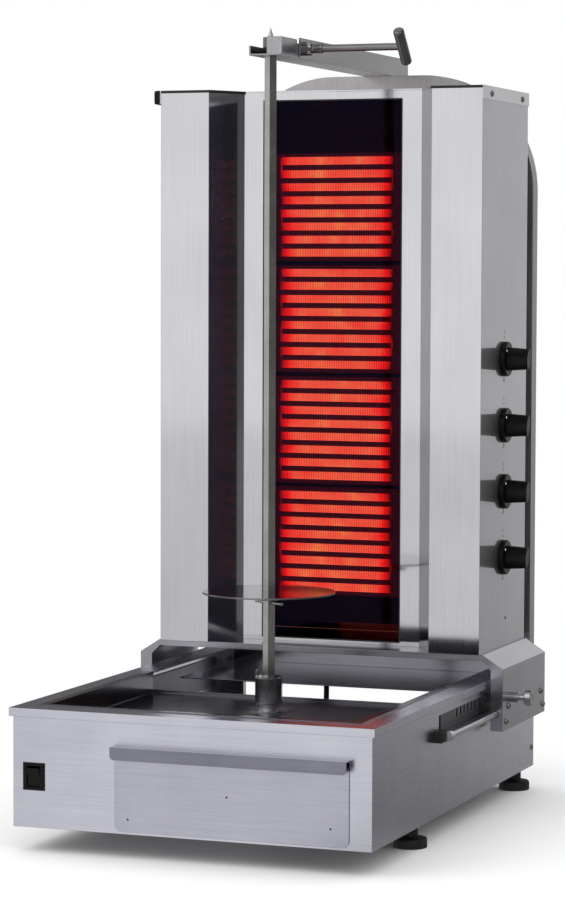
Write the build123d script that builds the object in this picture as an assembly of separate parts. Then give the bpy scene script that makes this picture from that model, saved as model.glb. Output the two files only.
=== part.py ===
from build123d import *
import math
import os

# Electric doner kebab grill. All lengths are millimetres.
# x = 0 is the middle plane of the base, y runs back from the base front, z runs up from the floor.
# Names that end in _H are heights above the underside of the base.

# Shared sheet, fits and cuts
SHEET = 1.5
PLATE = 2.0
THIN = 1.2
OVERRUN = 1.0
RUN_GAP = 0.3
FIT = 0.05
HOLE_PLAY = 0.2

# Base housing
BASE_W = 450.0
BASE_D = 660.0
BASE_H = 142.0
FOOT_H = 30.0
LIP_OUT = 4.0
LIP_H = 10.0
LIP_IN = 29.0
FRONT_LEDGE = 31.0
REAR_FLANGE = 34.0
REAR_WALL_H = 62.0

# Windows in the base sides, with the index rails behind them
WINDOW_AHEAD = 75.6
WINDOW_REAR_GAP = 30.0
WINDOW_LOW_DOWN = 51.0
WINDOW_HIGH_DOWN = 19.0
RAIL_LAP = 4.0
RAIL_FRONT_GAP = 11.0
RAIL_FLANGE_DOWN = 41.0
RAIL_FLANGE_OUT = 7.0
SLOT_PITCH = 15.0
SLOT_COUNT = 11
SLOT_W = 6.6
SLOT_TALL = 11.0
INDEX_DOWN = 24.5

# Guide rods beside the base
ROD_R = 4.0
ROD_OUT = 14.0
ROD_DOWN = 42.5
ROD_AHEAD = 10.0
ROD_REAR_IN = 19.0
ROD_BLOCK_LONG = 23.0
ROD_BLOCK_TALL = 14.0
ROD_BLOCK_OUT = 10.0
ROD_BLOCK_R = 2.0
HEEL_LONG = 10.7
HEEL_OUT = 19.0
COLLAR_R = 6.5
COLLAR_LONG = 11.0

# Levelling feet
FOOT_PAD_R = 20.5
FOOT_PAD_TALL = 12.0
FOOT_PAD_ROUND = 2.5
FOOT_STEM_R = 9.0
FOOT_STUD_R = 5.0
FOOT_STUD_TALL = 12.0
FOOT_IN = 20.0
FOOT_FRONT = 199.0
FOOT_REAR_IN = 22.0

# Grease pan
PAN_DEPTH = 26.0
PAN_BEHIND_SPIT = 92.0
PAN_RIM = 8.0
PAN_UPSTAND = 4.0
DRAIN_R = 14.0
DRAIN_X = 60.0
DRAIN_SHARE = 0.4
SEAL_R = 13.4
SEAL_TALL = 8.0
SEAL_FLANGE_R = 27.0

# Grease drawer
DRAWER_LEFT_IN = 131.5
DRAWER_RIGHT_IN = 27.3
DRAWER_LOW_H = 3.0
DRAWER_DOWN = 50.0
DRAWER_CORNER_R = 9.0
DRAWER_LAP = 7.0
TRAY_GAP = 3.0
TRAY_UNDER = 40.0
TRAY_BEFORE_SPIT = 70.0
TRAY_FLOOR_H = 8.0
HANDLE_OVER = 0.8
HANDLE_OUT = 14.0
HANDLE_TALL = 15.0
HANDLE_CORNER_R = 5.0
HANDLE_UP = 12.0
RUNNER_W = 12.0
RUNNER_INSET = 8.0
RUNNER_BEHIND_FRONT = 6.0

# Power rocker
SWITCH_IN = 27.0
SWITCH_H = 61.0
BEZEL_W = 28.0
BEZEL_TALL = 33.0
BEZEL_PROUD = 2.0
SWITCH_OPEN_W = 17.0
SWITCH_OPEN_TALL = 25.4
SWITCH_BODY_WALL = 1.5
SWITCH_BODY_DEEP = 22.0
ROCKER_W = 16.2
ROCKER_TALL = 22.4
ROCKER_CREST = 2.5
ROCKER_DIP = 0.8
ROCKER_BACK = 3.0
ROCKER_KEEL = 6.0
ROCKER_TILT_DEG = 10.0
ROCKER_PIN_R = 1.5

# Spit drive: skewer, socket, output shaft, gears and motor
SPIT_BEFORE_GLASS = 223.5
SPIT_SIDE = 10.5
SPIT_TURN_DEG = 57.0
SPIT_OVER_ARM = 35.5
SPIT_TIP_TALL = 18.0
SPIT_PLAY = 0.25
SOCKET_R = 17.0
SOCKET_DOWN = 17.5
SOCKET_TALL = 33.5
SOCKET_WEB = 8.0
SOCKET_ROUND = 1.0
TAB_W = 3.0
TAB_TALL = 7.0
TAB_DEEP = 4.0
SHAFT_R = 8.0
GEAR_MODULE = 2.5
WHEEL_TEETH = 36
PINION_TEETH = 12
GEAR_FACE = 10.0
GEAR_LIFT = 6.0
GEAR_SPREAD = 0.4
TOOTH_ROOT_SHARE = 0.62
TOOTH_TIP_SHARE = 0.24
ADDENDUM_SHARE = 1.0
DEDENDUM_SHARE = 1.3
CASE_DOWN = 76.0
CASE_TALL = 34.0
CASE_WALL = 4.0
CASE_CLEAR = 3.0
COVER_TALL = 4.0
BUSH_WALL = 3.0
BUSH_FLANGE = 1.5
MOTOR_R = 31.0
MOTOR_LOW_H = 6.0
MOTOR_SHAFT_R = 5.0
TERMINAL_W = 30.0
TERMINAL_DEEP = 14.0
TERMINAL_TALL = 26.0
TERMINAL_H = 12.0
BRACKET_PLATE = 3.0
BRACKET_FOOT = 16.0

# Meat disc and its cross pin
DISC_R = 82.5
DISC_THICK = 2.0
DISC_UP = 119.5
HUB_R = 12.0
HUB_TALL = 9.0
DISC_PIN_R = 2.2
DISC_PIN_LONG = 54.0

# Mast hoop behind the base
MAST_IN = 6.5
MAST_TUBE = 22.0
MAST_WALL = 2.0
MAST_TOP_H = 920.5
MAST_CORNER_R = 155.0
MAST_FOOT_H = 14.0
MAST_BOLT_LOW_H = 34.0
MAST_BOLT_DOWN = 34.0
BOLT_R = 4.0
BOLT_HEAD_R = 6.5
BOLT_HEAD_TALL = 4.0

# Top arm with the upper spit bearing and its clamp
ARM_W = 41.0
ARM_BEFORE_SPIT = 20.0
ARM_BEHIND_BASE = 68.0
ARM_TALL = 25.5
ARM_LOW_TALL = 12.0
ARM_FLANGE_BEHIND = 49.0
BLOCK_LEFT = 9.5
BLOCK_FRONT = 9.5
BLOCK_LONG = 53.0
BLOCK_TALL = 21.5
BLOCK_CHAMFER = 8.0
BLOCK_TAIL = 62.0
BLOCK_TAIL_DROP = 5.0
BLOCK_EDGE = 1.0
CLAMP_BEHIND = 71.0
CLAMP_UP = 13.5
CLAMP_BOSS_R = 8.5
CLAMP_BOSS_LONG = 8.0
CLAMP_SCREW_R = 5.0
CLAMP_ROOT_R = 6.0
CLAMP_ROOT_LONG = 14.0
CLAMP_ROD_R = 4.5
CLAMP_REACH = 125.5
GRIP_R = 6.75
GRIP_LONG = 52.0
GRIP_TILT_DEG = 42.0

# Saddle that carries the tower along the guide rods
SADDLE_OVER_ROD = 9.7
SADDLE_LEDGE = 3.5
SADDLE_DEEP = 194.3
SADDLE_REAR_GAP = 31.0
SADDLE_UP = 32.0
SADDLE_SHOULDER_DROP = 17.0
SADDLE_TALL = 96.0
SADDLE_RIM = 16.0
SADDLE_BROW = 8.0
SADDLE_RIM_CUT = 11.0
APRON_GAP = 3.0
APRON_OVER_PAN = 7.5
GLIDE_LONG = 26.0
GLIDE_TALL = 27.0
GLIDE_SET = 7.0
GLIDE_UP = 2.0
GLIDE_IN = 13.0
SADDLE_BOLT_R = 4.2
SADDLE_BOLT_LEAN = 4.7
SADDLE_BOLT_PROUD = 2.4
SADDLE_BOLT_HIGH_UP = 29.5
SADDLE_BOLT_LOW_UP = 11.0
TOWER_TRAVEL_PITCHES = 9

# Index plunger, drawn in its parked position
PLUNGER_SET = 36.9
SLEEVE_R = 6.5
SLEEVE_OUT = 11.0
SLEEVE_NUT = 4.0
PLUNGER_R = 4.0
PLUNGER_TIP_R = 3.0
PLUNGER_TIP_LONG = 9.0
PLUNGER_TRAVEL = 8.0
PLUNGER_HEAD_R = 10.0
PLUNGER_HEAD_LONG = 9.0
PLUNGER_PARK_GAP = 2.0

# Tower with the radiant zones
TOWER_IN = 6.5
WING_AHEAD = 4.7
TOWER_OVER = 3.4
TOWER_UNDER_ARM = 28.5
WING_W = 67.1
GLASS_SET = 51.5
SPLAY_IN = 29.5
RETURN_DEEP = 51.0
FRAME_STRIP = 26.4
OPEN_DROP = 12.0
OPEN_SILL = 4.0
GLASS_THICK = 4.0
GLASS_LAP = 11.0
CARRIER_OVER = 8.5
CARRIER_UP = 22.0
CARRIER_DROP = 24.0
PAD_IN = 7.5
INSULATION_DEEP = 20.0
INSULATION_MARGIN = 4.0
ZONE_COUNT = 4
ZONE_UP = 50.0
ZONE_DROP = 84.0
BAR_COUNT = 8
ZONE_GAP = 8.4
BAR_GAP = 5.5
BAR_IN = 21.5
BAR_THICK = 2.0
BAR_LINK = 8.0
LID_FLANGE = 17.0
SCREW_R = 4.0
SCREW_PROUD = 1.8
LID_SCREW_SET = 35.0
LID_SCREW_REAR_IN = 30.4
LID_SCREW_DROP = 9.5
CAP_OUT = 8.0
CAP_DEEP = 16.0
CAP_TALL = 18.0
CAP_ROUND = 3.0
SIDE_HOLE_R = 2.5
SIDE_HOLE_SET = 115.0
SIDE_HOLE_UP = 36.0

# Heat control knobs and their regulators
KNOB_COUNT = 4
KNOB_SET = 102.0
KNOB_UP = 116.0
KNOB_PITCH = 85.4
KNOB_R = 22.5
KNOB_SKIRT = 6.0
KNOB_GAP = 0.6
KNOB_GRIP_W = 21.0
KNOB_GRIP_LONG = 31.0
KNOB_GRIP_DEEP = 26.5
KNOB_GRIP_END_SHARE = 0.88
KNOB_GRIP_TILT_DEG = 21.0
KNOB_ROUND = 2.0
KNOB_SHAFT_R = 3.0
KNOB_SHAFT_LONG = 14.0
REGULATOR_W = 40.0
REGULATOR_TALL = 46.0
REGULATOR_DEEP = 34.0

# Mains gland in the rear wall
GLAND_X = -120.0
GLAND_H = 30.0
GLAND_R = 11.0
GLAND_BORE_R = 4.5
GLAND_OUT = 17.0
GLAND_IN = 10.0
GLAND_FLANGE_R = 15.0
GLAND_FLANGE_TALL = 4.0

# Small screws in the base sides
BASE_SCREW_IN = 9.0
BASE_SCREW_LOW_H = 25.5
BASE_SCREW_UNDER_ROD = 29.5

# Motor lead between the saddle's guard and the motor terminal.
# Its route's turns from the top down are shares of the way from its lower to its upper end,
# in depth and in height.
LEAD_R = 3.5
LEAD_X = -9.6
LEAD_SET = 60.3
LEAD_END_H = 25.0
LEAD_TURN_SHARES = [(1.0, 0.646), (0.925, 0.32), (0.68, 0.088), (0.325, 0.0)]
LEAD_RADIUS_SHARE = 0.45

# Places across the width that several pieces share
HALF_W = BASE_W / 2
WALL_IN = HALF_W - SHEET
LIP_INNER = HALF_W - LIP_IN
DRAWER_LEFT = DRAWER_LEFT_IN - HALF_W
DRAWER_RIGHT = HALF_W - DRAWER_RIGHT_IN
SWITCH_X = SWITCH_IN - HALF_W
ROD_X = HALF_W + ROD_OUT
SADDLE_HALF = ROD_X + SADDLE_OVER_ROD
APRON_HALF = LIP_INNER - APRON_GAP
TOWER_HALF = HALF_W - TOWER_IN
SADDLE_TOP_HALF = TOWER_HALF + SADDLE_LEDGE
WING_INNER_HALF = TOWER_HALF - WING_W
RECESS_HALF = WING_INNER_HALF - SPLAY_IN
OPEN_HALF = RECESS_HALF - FRAME_STRIP
CARRIER_SIDE = OPEN_HALF + CARRIER_OVER
TRAY_HALF = OPEN_HALF - PAD_IN
BAR_HALF = OPEN_HALF - BAR_IN
MAST_HALF = HALF_W - MAST_IN
ARM_HALF = ARM_W / 2

# Places along the depth that several pieces share
SADDLE_REAR = BASE_D - SADDLE_REAR_GAP
SADDLE_FRONT = SADDLE_REAR - SADDLE_DEEP
WING_FRONT = SADDLE_FRONT - WING_AHEAD
TOWER_REAR = SADDLE_REAR + TOWER_OVER
GLASS_Y = WING_FRONT + GLASS_SET
KNOB_Y = WING_FRONT + KNOB_SET
SIDE_HOLE_Y = WING_FRONT + SIDE_HOLE_SET
LID_SCREW_FRONT = WING_FRONT + LID_SCREW_SET
LID_SCREW_REAR = TOWER_REAR - LID_SCREW_REAR_IN
PLUNGER_Y = SADDLE_FRONT + PLUNGER_SET
LEAD_Y = SADDLE_FRONT + LEAD_SET
SLOT_FIRST_Y = PLUNGER_Y - SLOT_PITCH * (SLOT_COUNT - 1)
WINDOW_FRONT = SLOT_FIRST_Y - WINDOW_AHEAD
ROD_FRONT = WINDOW_FRONT - ROD_AHEAD
ROD_REAR = BASE_D - ROD_REAR_IN
COLLAR_REAR = ROD_FRONT + COLLAR_LONG
FOOT_REAR = BASE_D - FOOT_REAR_IN
BASE_SCREW_Y = BASE_D - BASE_SCREW_IN
SPIT_Y = GLASS_Y - SPIT_BEFORE_GLASS
PAN_REAR = SPIT_Y + PAN_BEHIND_SPIT
TRAY_DEEP = SPIT_Y - TRAY_BEFORE_SPIT
DRAIN_Y = FRONT_LEDGE + DRAIN_SHARE * (TRAY_DEEP - FRONT_LEDGE)
ARM_FRONT = SPIT_Y - ARM_BEFORE_SPIT
ARM_FLANGE_FRONT = SPIT_Y + ARM_FLANGE_BEHIND
CLAMP_Y = SPIT_Y + CLAMP_BEHIND
ARM_REAR = BASE_D + ARM_BEHIND_BASE
GEAR_CENTRES = GEAR_MODULE * (WHEEL_TEETH + PINION_TEETH) / 2 + GEAR_SPREAD
MOTOR_Y = SPIT_Y + GEAR_CENTRES
TOWER_TRAVEL = SLOT_PITCH * TOWER_TRAVEL_PITCHES

# Heights above the underside of the base that several pieces share
WINDOW_LOW_H = BASE_H - WINDOW_LOW_DOWN
WINDOW_HIGH_H = BASE_H - WINDOW_HIGH_DOWN
RAIL_FLANGE_H = BASE_H - RAIL_FLANGE_DOWN
INDEX_H = BASE_H - INDEX_DOWN
ROD_H = BASE_H - ROD_DOWN
BASE_SCREW_HIGH_H = ROD_H - BASE_SCREW_UNDER_ROD
DRAWER_HIGH_H = BASE_H - DRAWER_DOWN
HANDLE_TOP_H = DRAWER_HIGH_H + HANDLE_UP
TRAY_TALL = DRAWER_HIGH_H - TRAY_UNDER
SOCKET_LOW_H = BASE_H - SOCKET_DOWN
CASE_LOW_H = BASE_H - CASE_DOWN
MAST_BOLT_HIGH_H = BASE_H - MAST_BOLT_DOWN
DISC_H = BASE_H + DISC_UP
SADDLE_TOP_H = BASE_H + SADDLE_UP
SADDLE_SHOULDER_H = SADDLE_TOP_H - SADDLE_SHOULDER_DROP
SADDLE_LOW_H = SADDLE_TOP_H - SADDLE_TALL
SADDLE_BOLT_HIGH_H = SADDLE_LOW_H + SADDLE_BOLT_HIGH_UP
SADDLE_BOLT_LOW_H = SADDLE_LOW_H + SADDLE_BOLT_LOW_UP
GLIDE_LOW_H = SADDLE_LOW_H + GLIDE_UP
APRON_LOW_H = BASE_H - PAN_DEPTH + APRON_OVER_PAN
SPIT_TIP_H = MAST_TOP_H + SPIT_OVER_ARM
TOWER_TOP_H = MAST_TOP_H - TOWER_UNDER_ARM
OPEN_TOP_H = TOWER_TOP_H - OPEN_DROP
CARRIER_LOW_H = SADDLE_TOP_H + CARRIER_UP
CARRIER_HIGH_H = TOWER_TOP_H - CARRIER_DROP
ZONE_TOP_H = TOWER_TOP_H - ZONE_DROP
ZONE_PITCH = (ZONE_TOP_H - SADDLE_TOP_H - ZONE_UP) / ZONE_COUNT
BAR_PITCH = (ZONE_PITCH - ZONE_GAP) / BAR_COUNT
BAR_TALL = BAR_PITCH - BAR_GAP
KNOB_LOW_H = SADDLE_TOP_H + KNOB_UP
SIDE_HOLE_H = SADDLE_TOP_H + SIDE_HOLE_UP

# Heights above the floor that several pieces share
BASE_TOP = FOOT_H + BASE_H
ROD_Z = FOOT_H + ROD_H
INDEX_Z = FOOT_H + INDEX_H
SADDLE_Z = FOOT_H + SADDLE_TOP_H
TOWER_Z = FOOT_H + TOWER_TOP_H
ARM_Z = FOOT_H + MAST_TOP_H
CLAMP_Z = ARM_Z + CLAMP_UP
PAN_Z = BASE_TOP - PAN_DEPTH
SOCKET_Z = FOOT_H + SOCKET_LOW_H
SPIT_FOOT_Z = SOCKET_Z + SOCKET_WEB
SPIT_BORE_R = SPIT_SIDE / math.sqrt(2) + SPIT_PLAY
SPIT_LIFT = SOCKET_TALL - SOCKET_WEB + SPIT_PLAY
CASE_Z = FOOT_H + CASE_LOW_H
GEAR_Z = CASE_Z + CASE_WALL + GEAR_LIFT
COVER_Z = CASE_Z + CASE_TALL
SPIT = Pos(0, SPIT_Y, 0) * Rot(0, 0, SPIT_TURN_DEG)

PARTS = {}


def add(name, *solids):
    """Keep a node of one solid, or of a group of separate solids."""
    PARTS[name] = list(solids)


def block(x, y, z):
    """A box between two x, two y and two z places."""
    centre = Pos((x[0] + x[1]) / 2, (y[0] + y[1]) / 2, (z[0] + z[1]) / 2)
    return centre * Box(x[1] - x[0], y[1] - y[0], z[1] - z[0])


def rod_x(radius, x, y, z):
    """A round bar along x."""
    return Pos((x[0] + x[1]) / 2, y, z) * Rot(0, 90, 0) * Cylinder(radius, x[1] - x[0])


def rod_y(radius, x, y, z):
    """A round bar along y."""
    return Pos(x, (y[0] + y[1]) / 2, z) * Rot(90, 0, 0) * Cylinder(radius, y[1] - y[0])


def rod_z(radius, x, y, z):
    """A round bar along z."""
    return Pos(x, y, (z[0] + z[1]) / 2) * Cylinder(radius, z[1] - z[0])


def prism_y(points, y):
    """An (x, z) outline drawn out along y."""
    outline = Polyline(*[(px, y[0], pz) for px, pz in points], close=True)
    return extrude(make_face(outline), amount=y[1] - y[0], dir=(0, 1, 0))


def prism_z(points, z):
    """An (x, y) outline drawn out along z."""
    outline = Polyline(*[(px, py, z[0]) for px, py in points], close=True)
    return extrude(make_face(outline), amount=z[1] - z[0], dir=(0, 0, 1))


def prism_x(points, x):
    """A (y, z) outline drawn out along x."""
    outline = Polyline(*[(x[0], py, pz) for py, pz in points], close=True)
    return extrude(make_face(outline), amount=x[1] - x[0], dir=(1, 0, 0))


def spit_square(side, z):
    """A square bar on the spit axis, turned as the spit stands."""
    return SPIT * block((-side / 2, side / 2), (-side / 2, side / 2), z)


def pair(shape):
    """A piece and its mirror image on the other side."""
    return [shape, mirror(shape, about=Plane.YZ)]


def base_housing():
    """Folded base shell: front, sides, lip, rear flanges and low rear wall."""
    walls = block((-HALF_W, HALF_W), (0, SHEET), (FOOT_H, BASE_TOP))
    for side in pair(block((WALL_IN, HALF_W), (0, BASE_D), (FOOT_H, BASE_TOP))):
        walls += side
    walls += block((-HALF_W - LIP_OUT, HALF_W + LIP_OUT), (-LIP_OUT, 0), (BASE_TOP - LIP_H, BASE_TOP))
    walls += block((-HALF_W, HALF_W), (0, FRONT_LEDGE), (BASE_TOP - SHEET, BASE_TOP))
    for lip in pair(block((HALF_W, HALF_W + LIP_OUT), (0, BASE_D), (BASE_TOP - LIP_H, BASE_TOP))):
        walls += lip
    for ledge in pair(block((LIP_INNER, HALF_W), (0, BASE_D), (BASE_TOP - SHEET, BASE_TOP))):
        walls += ledge
    rear = (BASE_D - SHEET, BASE_D)
    for flange in pair(block((HALF_W - REAR_FLANGE, HALF_W), rear, (FOOT_H, BASE_TOP))):
        walls += flange
    walls += block((-HALF_W, HALF_W), rear, (FOOT_H, FOOT_H + REAR_WALL_H))
    window = block((WALL_IN - OVERRUN, HALF_W + OVERRUN), (WINDOW_FRONT, BASE_D - WINDOW_REAR_GAP),
                   (FOOT_H + WINDOW_LOW_H, FOOT_H + WINDOW_HIGH_H))
    for cut in pair(window):
        walls -= cut
    through = (-OVERRUN, SHEET + OVERRUN)
    walls -= block((DRAWER_LEFT + DRAWER_LAP, DRAWER_RIGHT - DRAWER_LAP), through,
                   (FOOT_H + DRAWER_LOW_H + TRAY_GAP, FOOT_H + DRAWER_HIGH_H - DRAWER_LAP))
    body_w = SWITCH_OPEN_W / 2 + SWITCH_BODY_WALL
    body_t = SWITCH_OPEN_TALL / 2 + SWITCH_BODY_WALL
    switch_z = FOOT_H + SWITCH_H
    walls -= block((SWITCH_X - body_w, SWITCH_X + body_w), through, (switch_z - body_t, switch_z + body_t))
    walls -= rod_y(GLAND_R, GLAND_X, (BASE_D - SHEET - OVERRUN, BASE_D + OVERRUN), FOOT_H + GLAND_H)
    for height in (MAST_BOLT_LOW_H, MAST_BOLT_HIGH_H):
        for hole in pair(rod_y(BOLT_R + HOLE_PLAY, MAST_HALF - MAST_TUBE / 2,
                               (BASE_D - SHEET - OVERRUN, BASE_D + OVERRUN), FOOT_H + height)):
            walls -= hole
    return walls


def base_floor():
    """Bottom plate with the threaded places of the feet."""
    floor = block((-WALL_IN, WALL_IN), (SHEET, BASE_D - SHEET), (FOOT_H, FOOT_H + PLATE))
    for x, y in foot_places():
        floor -= rod_z(FOOT_STUD_R + FIT, x, y, (FOOT_H - OVERRUN, FOOT_H + PLATE + OVERRUN))
    return floor


def foot_places():
    """The four foot axes: front left, front right, rear left, rear right."""
    across = HALF_W - FOOT_IN
    return [(-across, FOOT_FRONT), (across, FOOT_FRONT), (-across, FOOT_REAR), (across, FOOT_REAR)]


def foot(x, y):
    """Black levelling foot: rounded pad, stem and stud."""
    pad = rod_z(FOOT_PAD_R, x, y, (0, FOOT_PAD_TALL))
    pad = fillet(pad.edges().filter_by(GeomType.CIRCLE).sort_by(Axis.Z)[-1], FOOT_PAD_ROUND)
    pad += rod_z(FOOT_STEM_R, x, y, (FOOT_PAD_TALL, FOOT_H))
    return pad + rod_z(FOOT_STUD_R, x, y, (FOOT_H, FOOT_H + FOOT_STUD_TALL))


def grease_pan():
    """Drop-in pan whose rim lies on the ledge of the base."""
    inner = LIP_INNER - RUN_GAP
    front = FRONT_LEDGE + RUN_GAP
    pan = block((-inner, inner), (front, PAN_REAR), (PAN_Z - THIN, PAN_Z))
    for wall in pair(block((inner - THIN, inner), (front, PAN_REAR), (PAN_Z - THIN, BASE_TOP + THIN))):
        pan += wall
    pan += block((-inner, inner), (front, front + THIN), (PAN_Z - THIN, BASE_TOP + THIN))
    pan += block((-inner, inner), (PAN_REAR - THIN, PAN_REAR), (PAN_Z - THIN, PAN_Z + PAN_UPSTAND))
    rim_z = (BASE_TOP, BASE_TOP + THIN)
    for rim in pair(block((inner - THIN, inner + PAN_RIM), (front - PAN_RIM, PAN_REAR), rim_z)):
        pan += rim
    pan += block((-inner, inner), (front - PAN_RIM, front + THIN), rim_z)
    pan -= rod_z(SHAFT_R + RUN_GAP, 0, SPIT_Y, (PAN_Z - THIN - OVERRUN, PAN_Z + OVERRUN))
    return pan - rod_z(DRAIN_R, DRAIN_X, DRAIN_Y, (PAN_Z - THIN - OVERRUN, PAN_Z + OVERRUN))


def pan_seal():
    """Flanged neck round the output shaft on the pan floor."""
    ring = rod_z(SEAL_R, 0, SPIT_Y, (PAN_Z, PAN_Z + SEAL_TALL))
    ring += rod_z(SEAL_FLANGE_R, 0, SPIT_Y, (PAN_Z, PAN_Z + THIN))
    return ring - rod_z(SHAFT_R + FIT, 0, SPIT_Y, (PAN_Z - OVERRUN, PAN_Z + SEAL_TALL + OVERRUN))


def drawer():
    """Grease drawer: rounded front, hooked handle and tray."""
    face_y = (-RUN_GAP - THIN, -RUN_GAP)
    front = block((DRAWER_LEFT, DRAWER_RIGHT), face_y, (FOOT_H + DRAWER_LOW_H, FOOT_H + DRAWER_HIGH_H))
    low_corners = front.edges().filter_by(Axis.Y).sort_by(Axis.Z)[:2]
    add("drawer_front", fillet(low_corners, DRAWER_CORNER_R))
    handle_x = (DRAWER_LEFT - HANDLE_OVER, DRAWER_RIGHT + HANDLE_OVER)
    top = FOOT_H + HANDLE_TOP_H
    face = -RUN_GAP - HANDLE_OUT
    hook = block(handle_x, (face, -RUN_GAP), (top - THIN, top))
    lip = block(handle_x, (face, face + THIN), (top - HANDLE_TALL, top))
    hook += fillet(lip.edges().filter_by(Axis.Y).sort_by(Axis.Z)[:2], HANDLE_CORNER_R)
    hook += block(handle_x, face_y, (FOOT_H + DRAWER_HIGH_H, top))
    add("drawer_handle", hook)
    low = FOOT_H + TRAY_FLOOR_H
    x = (DRAWER_LEFT + DRAWER_LAP + TRAY_GAP, DRAWER_RIGHT - DRAWER_LAP - TRAY_GAP)
    y = (-RUN_GAP, -RUN_GAP + TRAY_DEEP)
    tray = block(x, y, (low, low + TRAY_TALL))
    inside = (low + THIN, low + TRAY_TALL + OVERRUN)
    tray -= block((x[0] + THIN, x[1] - THIN), (y[0] + THIN, y[1] - THIN), inside)
    add("drawer_tray", tray)


def drawer_runners():
    """Two low runners on the base floor under the tray."""
    left = DRAWER_LEFT + DRAWER_LAP + TRAY_GAP + RUNNER_INSET
    right = DRAWER_RIGHT - DRAWER_LAP - TRAY_GAP - RUNNER_INSET
    y = (RUNNER_BEHIND_FRONT, TRAY_DEEP)
    z = (FOOT_H + PLATE, FOOT_H + TRAY_FLOOR_H - RUN_GAP)
    return [block((left, left + RUNNER_W), y, z), block((right - RUNNER_W, right), y, z)]


def power_switch():
    """Bezel with its body behind the front wall, and the rocker tilted to its off side."""
    z = FOOT_H + SWITCH_H
    open_w, open_t = SWITCH_OPEN_W / 2, SWITCH_OPEN_TALL / 2
    body_w, body_t = open_w + SWITCH_BODY_WALL, open_t + SWITCH_BODY_WALL
    bezel = block((SWITCH_X - BEZEL_W / 2, SWITCH_X + BEZEL_W / 2), (-BEZEL_PROUD, 0),
                  (z - BEZEL_TALL / 2, z + BEZEL_TALL / 2))
    bezel = chamfer(bezel.faces().sort_by(Axis.Y)[0].edges(), BEZEL_PROUD / 2)
    bezel += block((SWITCH_X - body_w, SWITCH_X + body_w), (0, SWITCH_BODY_DEEP), (z - body_t, z + body_t))
    well_floor = SWITCH_BODY_DEEP - SWITCH_BODY_WALL
    bezel -= block((SWITCH_X - open_w, SWITCH_X + open_w), (-BEZEL_PROUD - OVERRUN, well_floor),
                   (z - open_t, z + open_t))
    pin_x = (SWITCH_X - body_w, SWITCH_X + body_w)
    bezel -= rod_x(ROCKER_PIN_R + FIT, pin_x, ROCKER_BACK, z)
    add("rocker_bezel", bezel)
    half = ROCKER_TALL / 2
    side = [(-ROCKER_CREST, half), (-ROCKER_DIP, 0), (-ROCKER_CREST, -half),
            (ROCKER_BACK, -half), (ROCKER_KEEL, 0), (ROCKER_BACK, half)]
    paddle = prism_x([(y - ROCKER_BACK, pz) for y, pz in side], (-ROCKER_W / 2, ROCKER_W / 2))
    paddle += rod_x(ROCKER_PIN_R, (-body_w, body_w), 0, 0)
    add("rocker", Pos(SWITCH_X, ROCKER_BACK, z) * Rot(ROCKER_TILT_DEG, 0, 0) * paddle)


def index_rail(slots):
    """Right rail: upright with its slots behind the window, and a flange out through it."""
    y = (WINDOW_FRONT + RAIL_FRONT_GAP, BASE_D - WINDOW_REAR_GAP)
    rail = block((WALL_IN - PLATE, WALL_IN), y,
                 (FOOT_H + WINDOW_LOW_H - RAIL_LAP, FOOT_H + WINDOW_HIGH_H + RAIL_LAP))
    rail += block((WALL_IN - PLATE, HALF_W + RAIL_FLANGE_OUT), (y[0], y[1] - RAIL_LAP),
                  (FOOT_H + RAIL_FLANGE_H, FOOT_H + RAIL_FLANGE_H + PLATE))
    for count in range(slots):
        centre = SLOT_FIRST_Y + SLOT_PITCH * count
        slot_y = (centre - SLOT_W / 2, centre + SLOT_W / 2)
        slot_z = (INDEX_Z - SLOT_TALL / 2, INDEX_Z + SLOT_TALL / 2)
        rail -= block((WALL_IN - PLATE - OVERRUN, WALL_IN + OVERRUN), slot_y, slot_z)
    return rail


def guide_rod():
    """Right guide rod."""
    return rod_y(ROD_R, ROD_X, (ROD_FRONT, ROD_REAR), ROD_Z)


def rod_mounts():
    """Right rod's front block with the steel collar seated against it, and the rear block."""
    z = (ROD_Z - ROD_BLOCK_TALL / 2, ROD_Z + ROD_BLOCK_TALL / 2)
    barrel = rod_y(COLLAR_R, ROD_X, (ROD_FRONT, COLLAR_REAR), ROD_Z)
    front = block((HALF_W, HALF_W + ROD_BLOCK_OUT), (COLLAR_REAR - ROD_BLOCK_LONG, COLLAR_REAR), z)
    front = fillet(front.edges().filter_by(Axis.X).sort_by(Axis.Y)[:2], ROD_BLOCK_R) - barrel
    rear = block((HALF_W, HALF_W + HEEL_OUT), (ROD_REAR - HEEL_LONG, ROD_REAR), z) - guide_rod()
    return [front, rear, barrel - guide_rod()]


def gear(teeth, turn_deg):
    """A spur gear blank with straight sided teeth, standing on z = 0."""
    pitch_r = GEAR_MODULE * teeth / 2
    root_r = pitch_r - GEAR_MODULE * DEDENDUM_SHARE
    tip_r = pitch_r + GEAR_MODULE * ADDENDUM_SHARE
    step = 2 * math.pi / teeth
    points = []
    for count in range(teeth):
        middle = step * count + math.radians(turn_deg)
        for radius, share in ((root_r, -TOOTH_ROOT_SHARE), (tip_r, -TOOTH_TIP_SHARE),
                              (tip_r, TOOTH_TIP_SHARE), (root_r, TOOTH_ROOT_SHARE)):
            angle = middle + share * step / 2
            points.append((radius * math.cos(angle), radius * math.sin(angle)))
    return prism_z(points, (0, GEAR_FACE))


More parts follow.
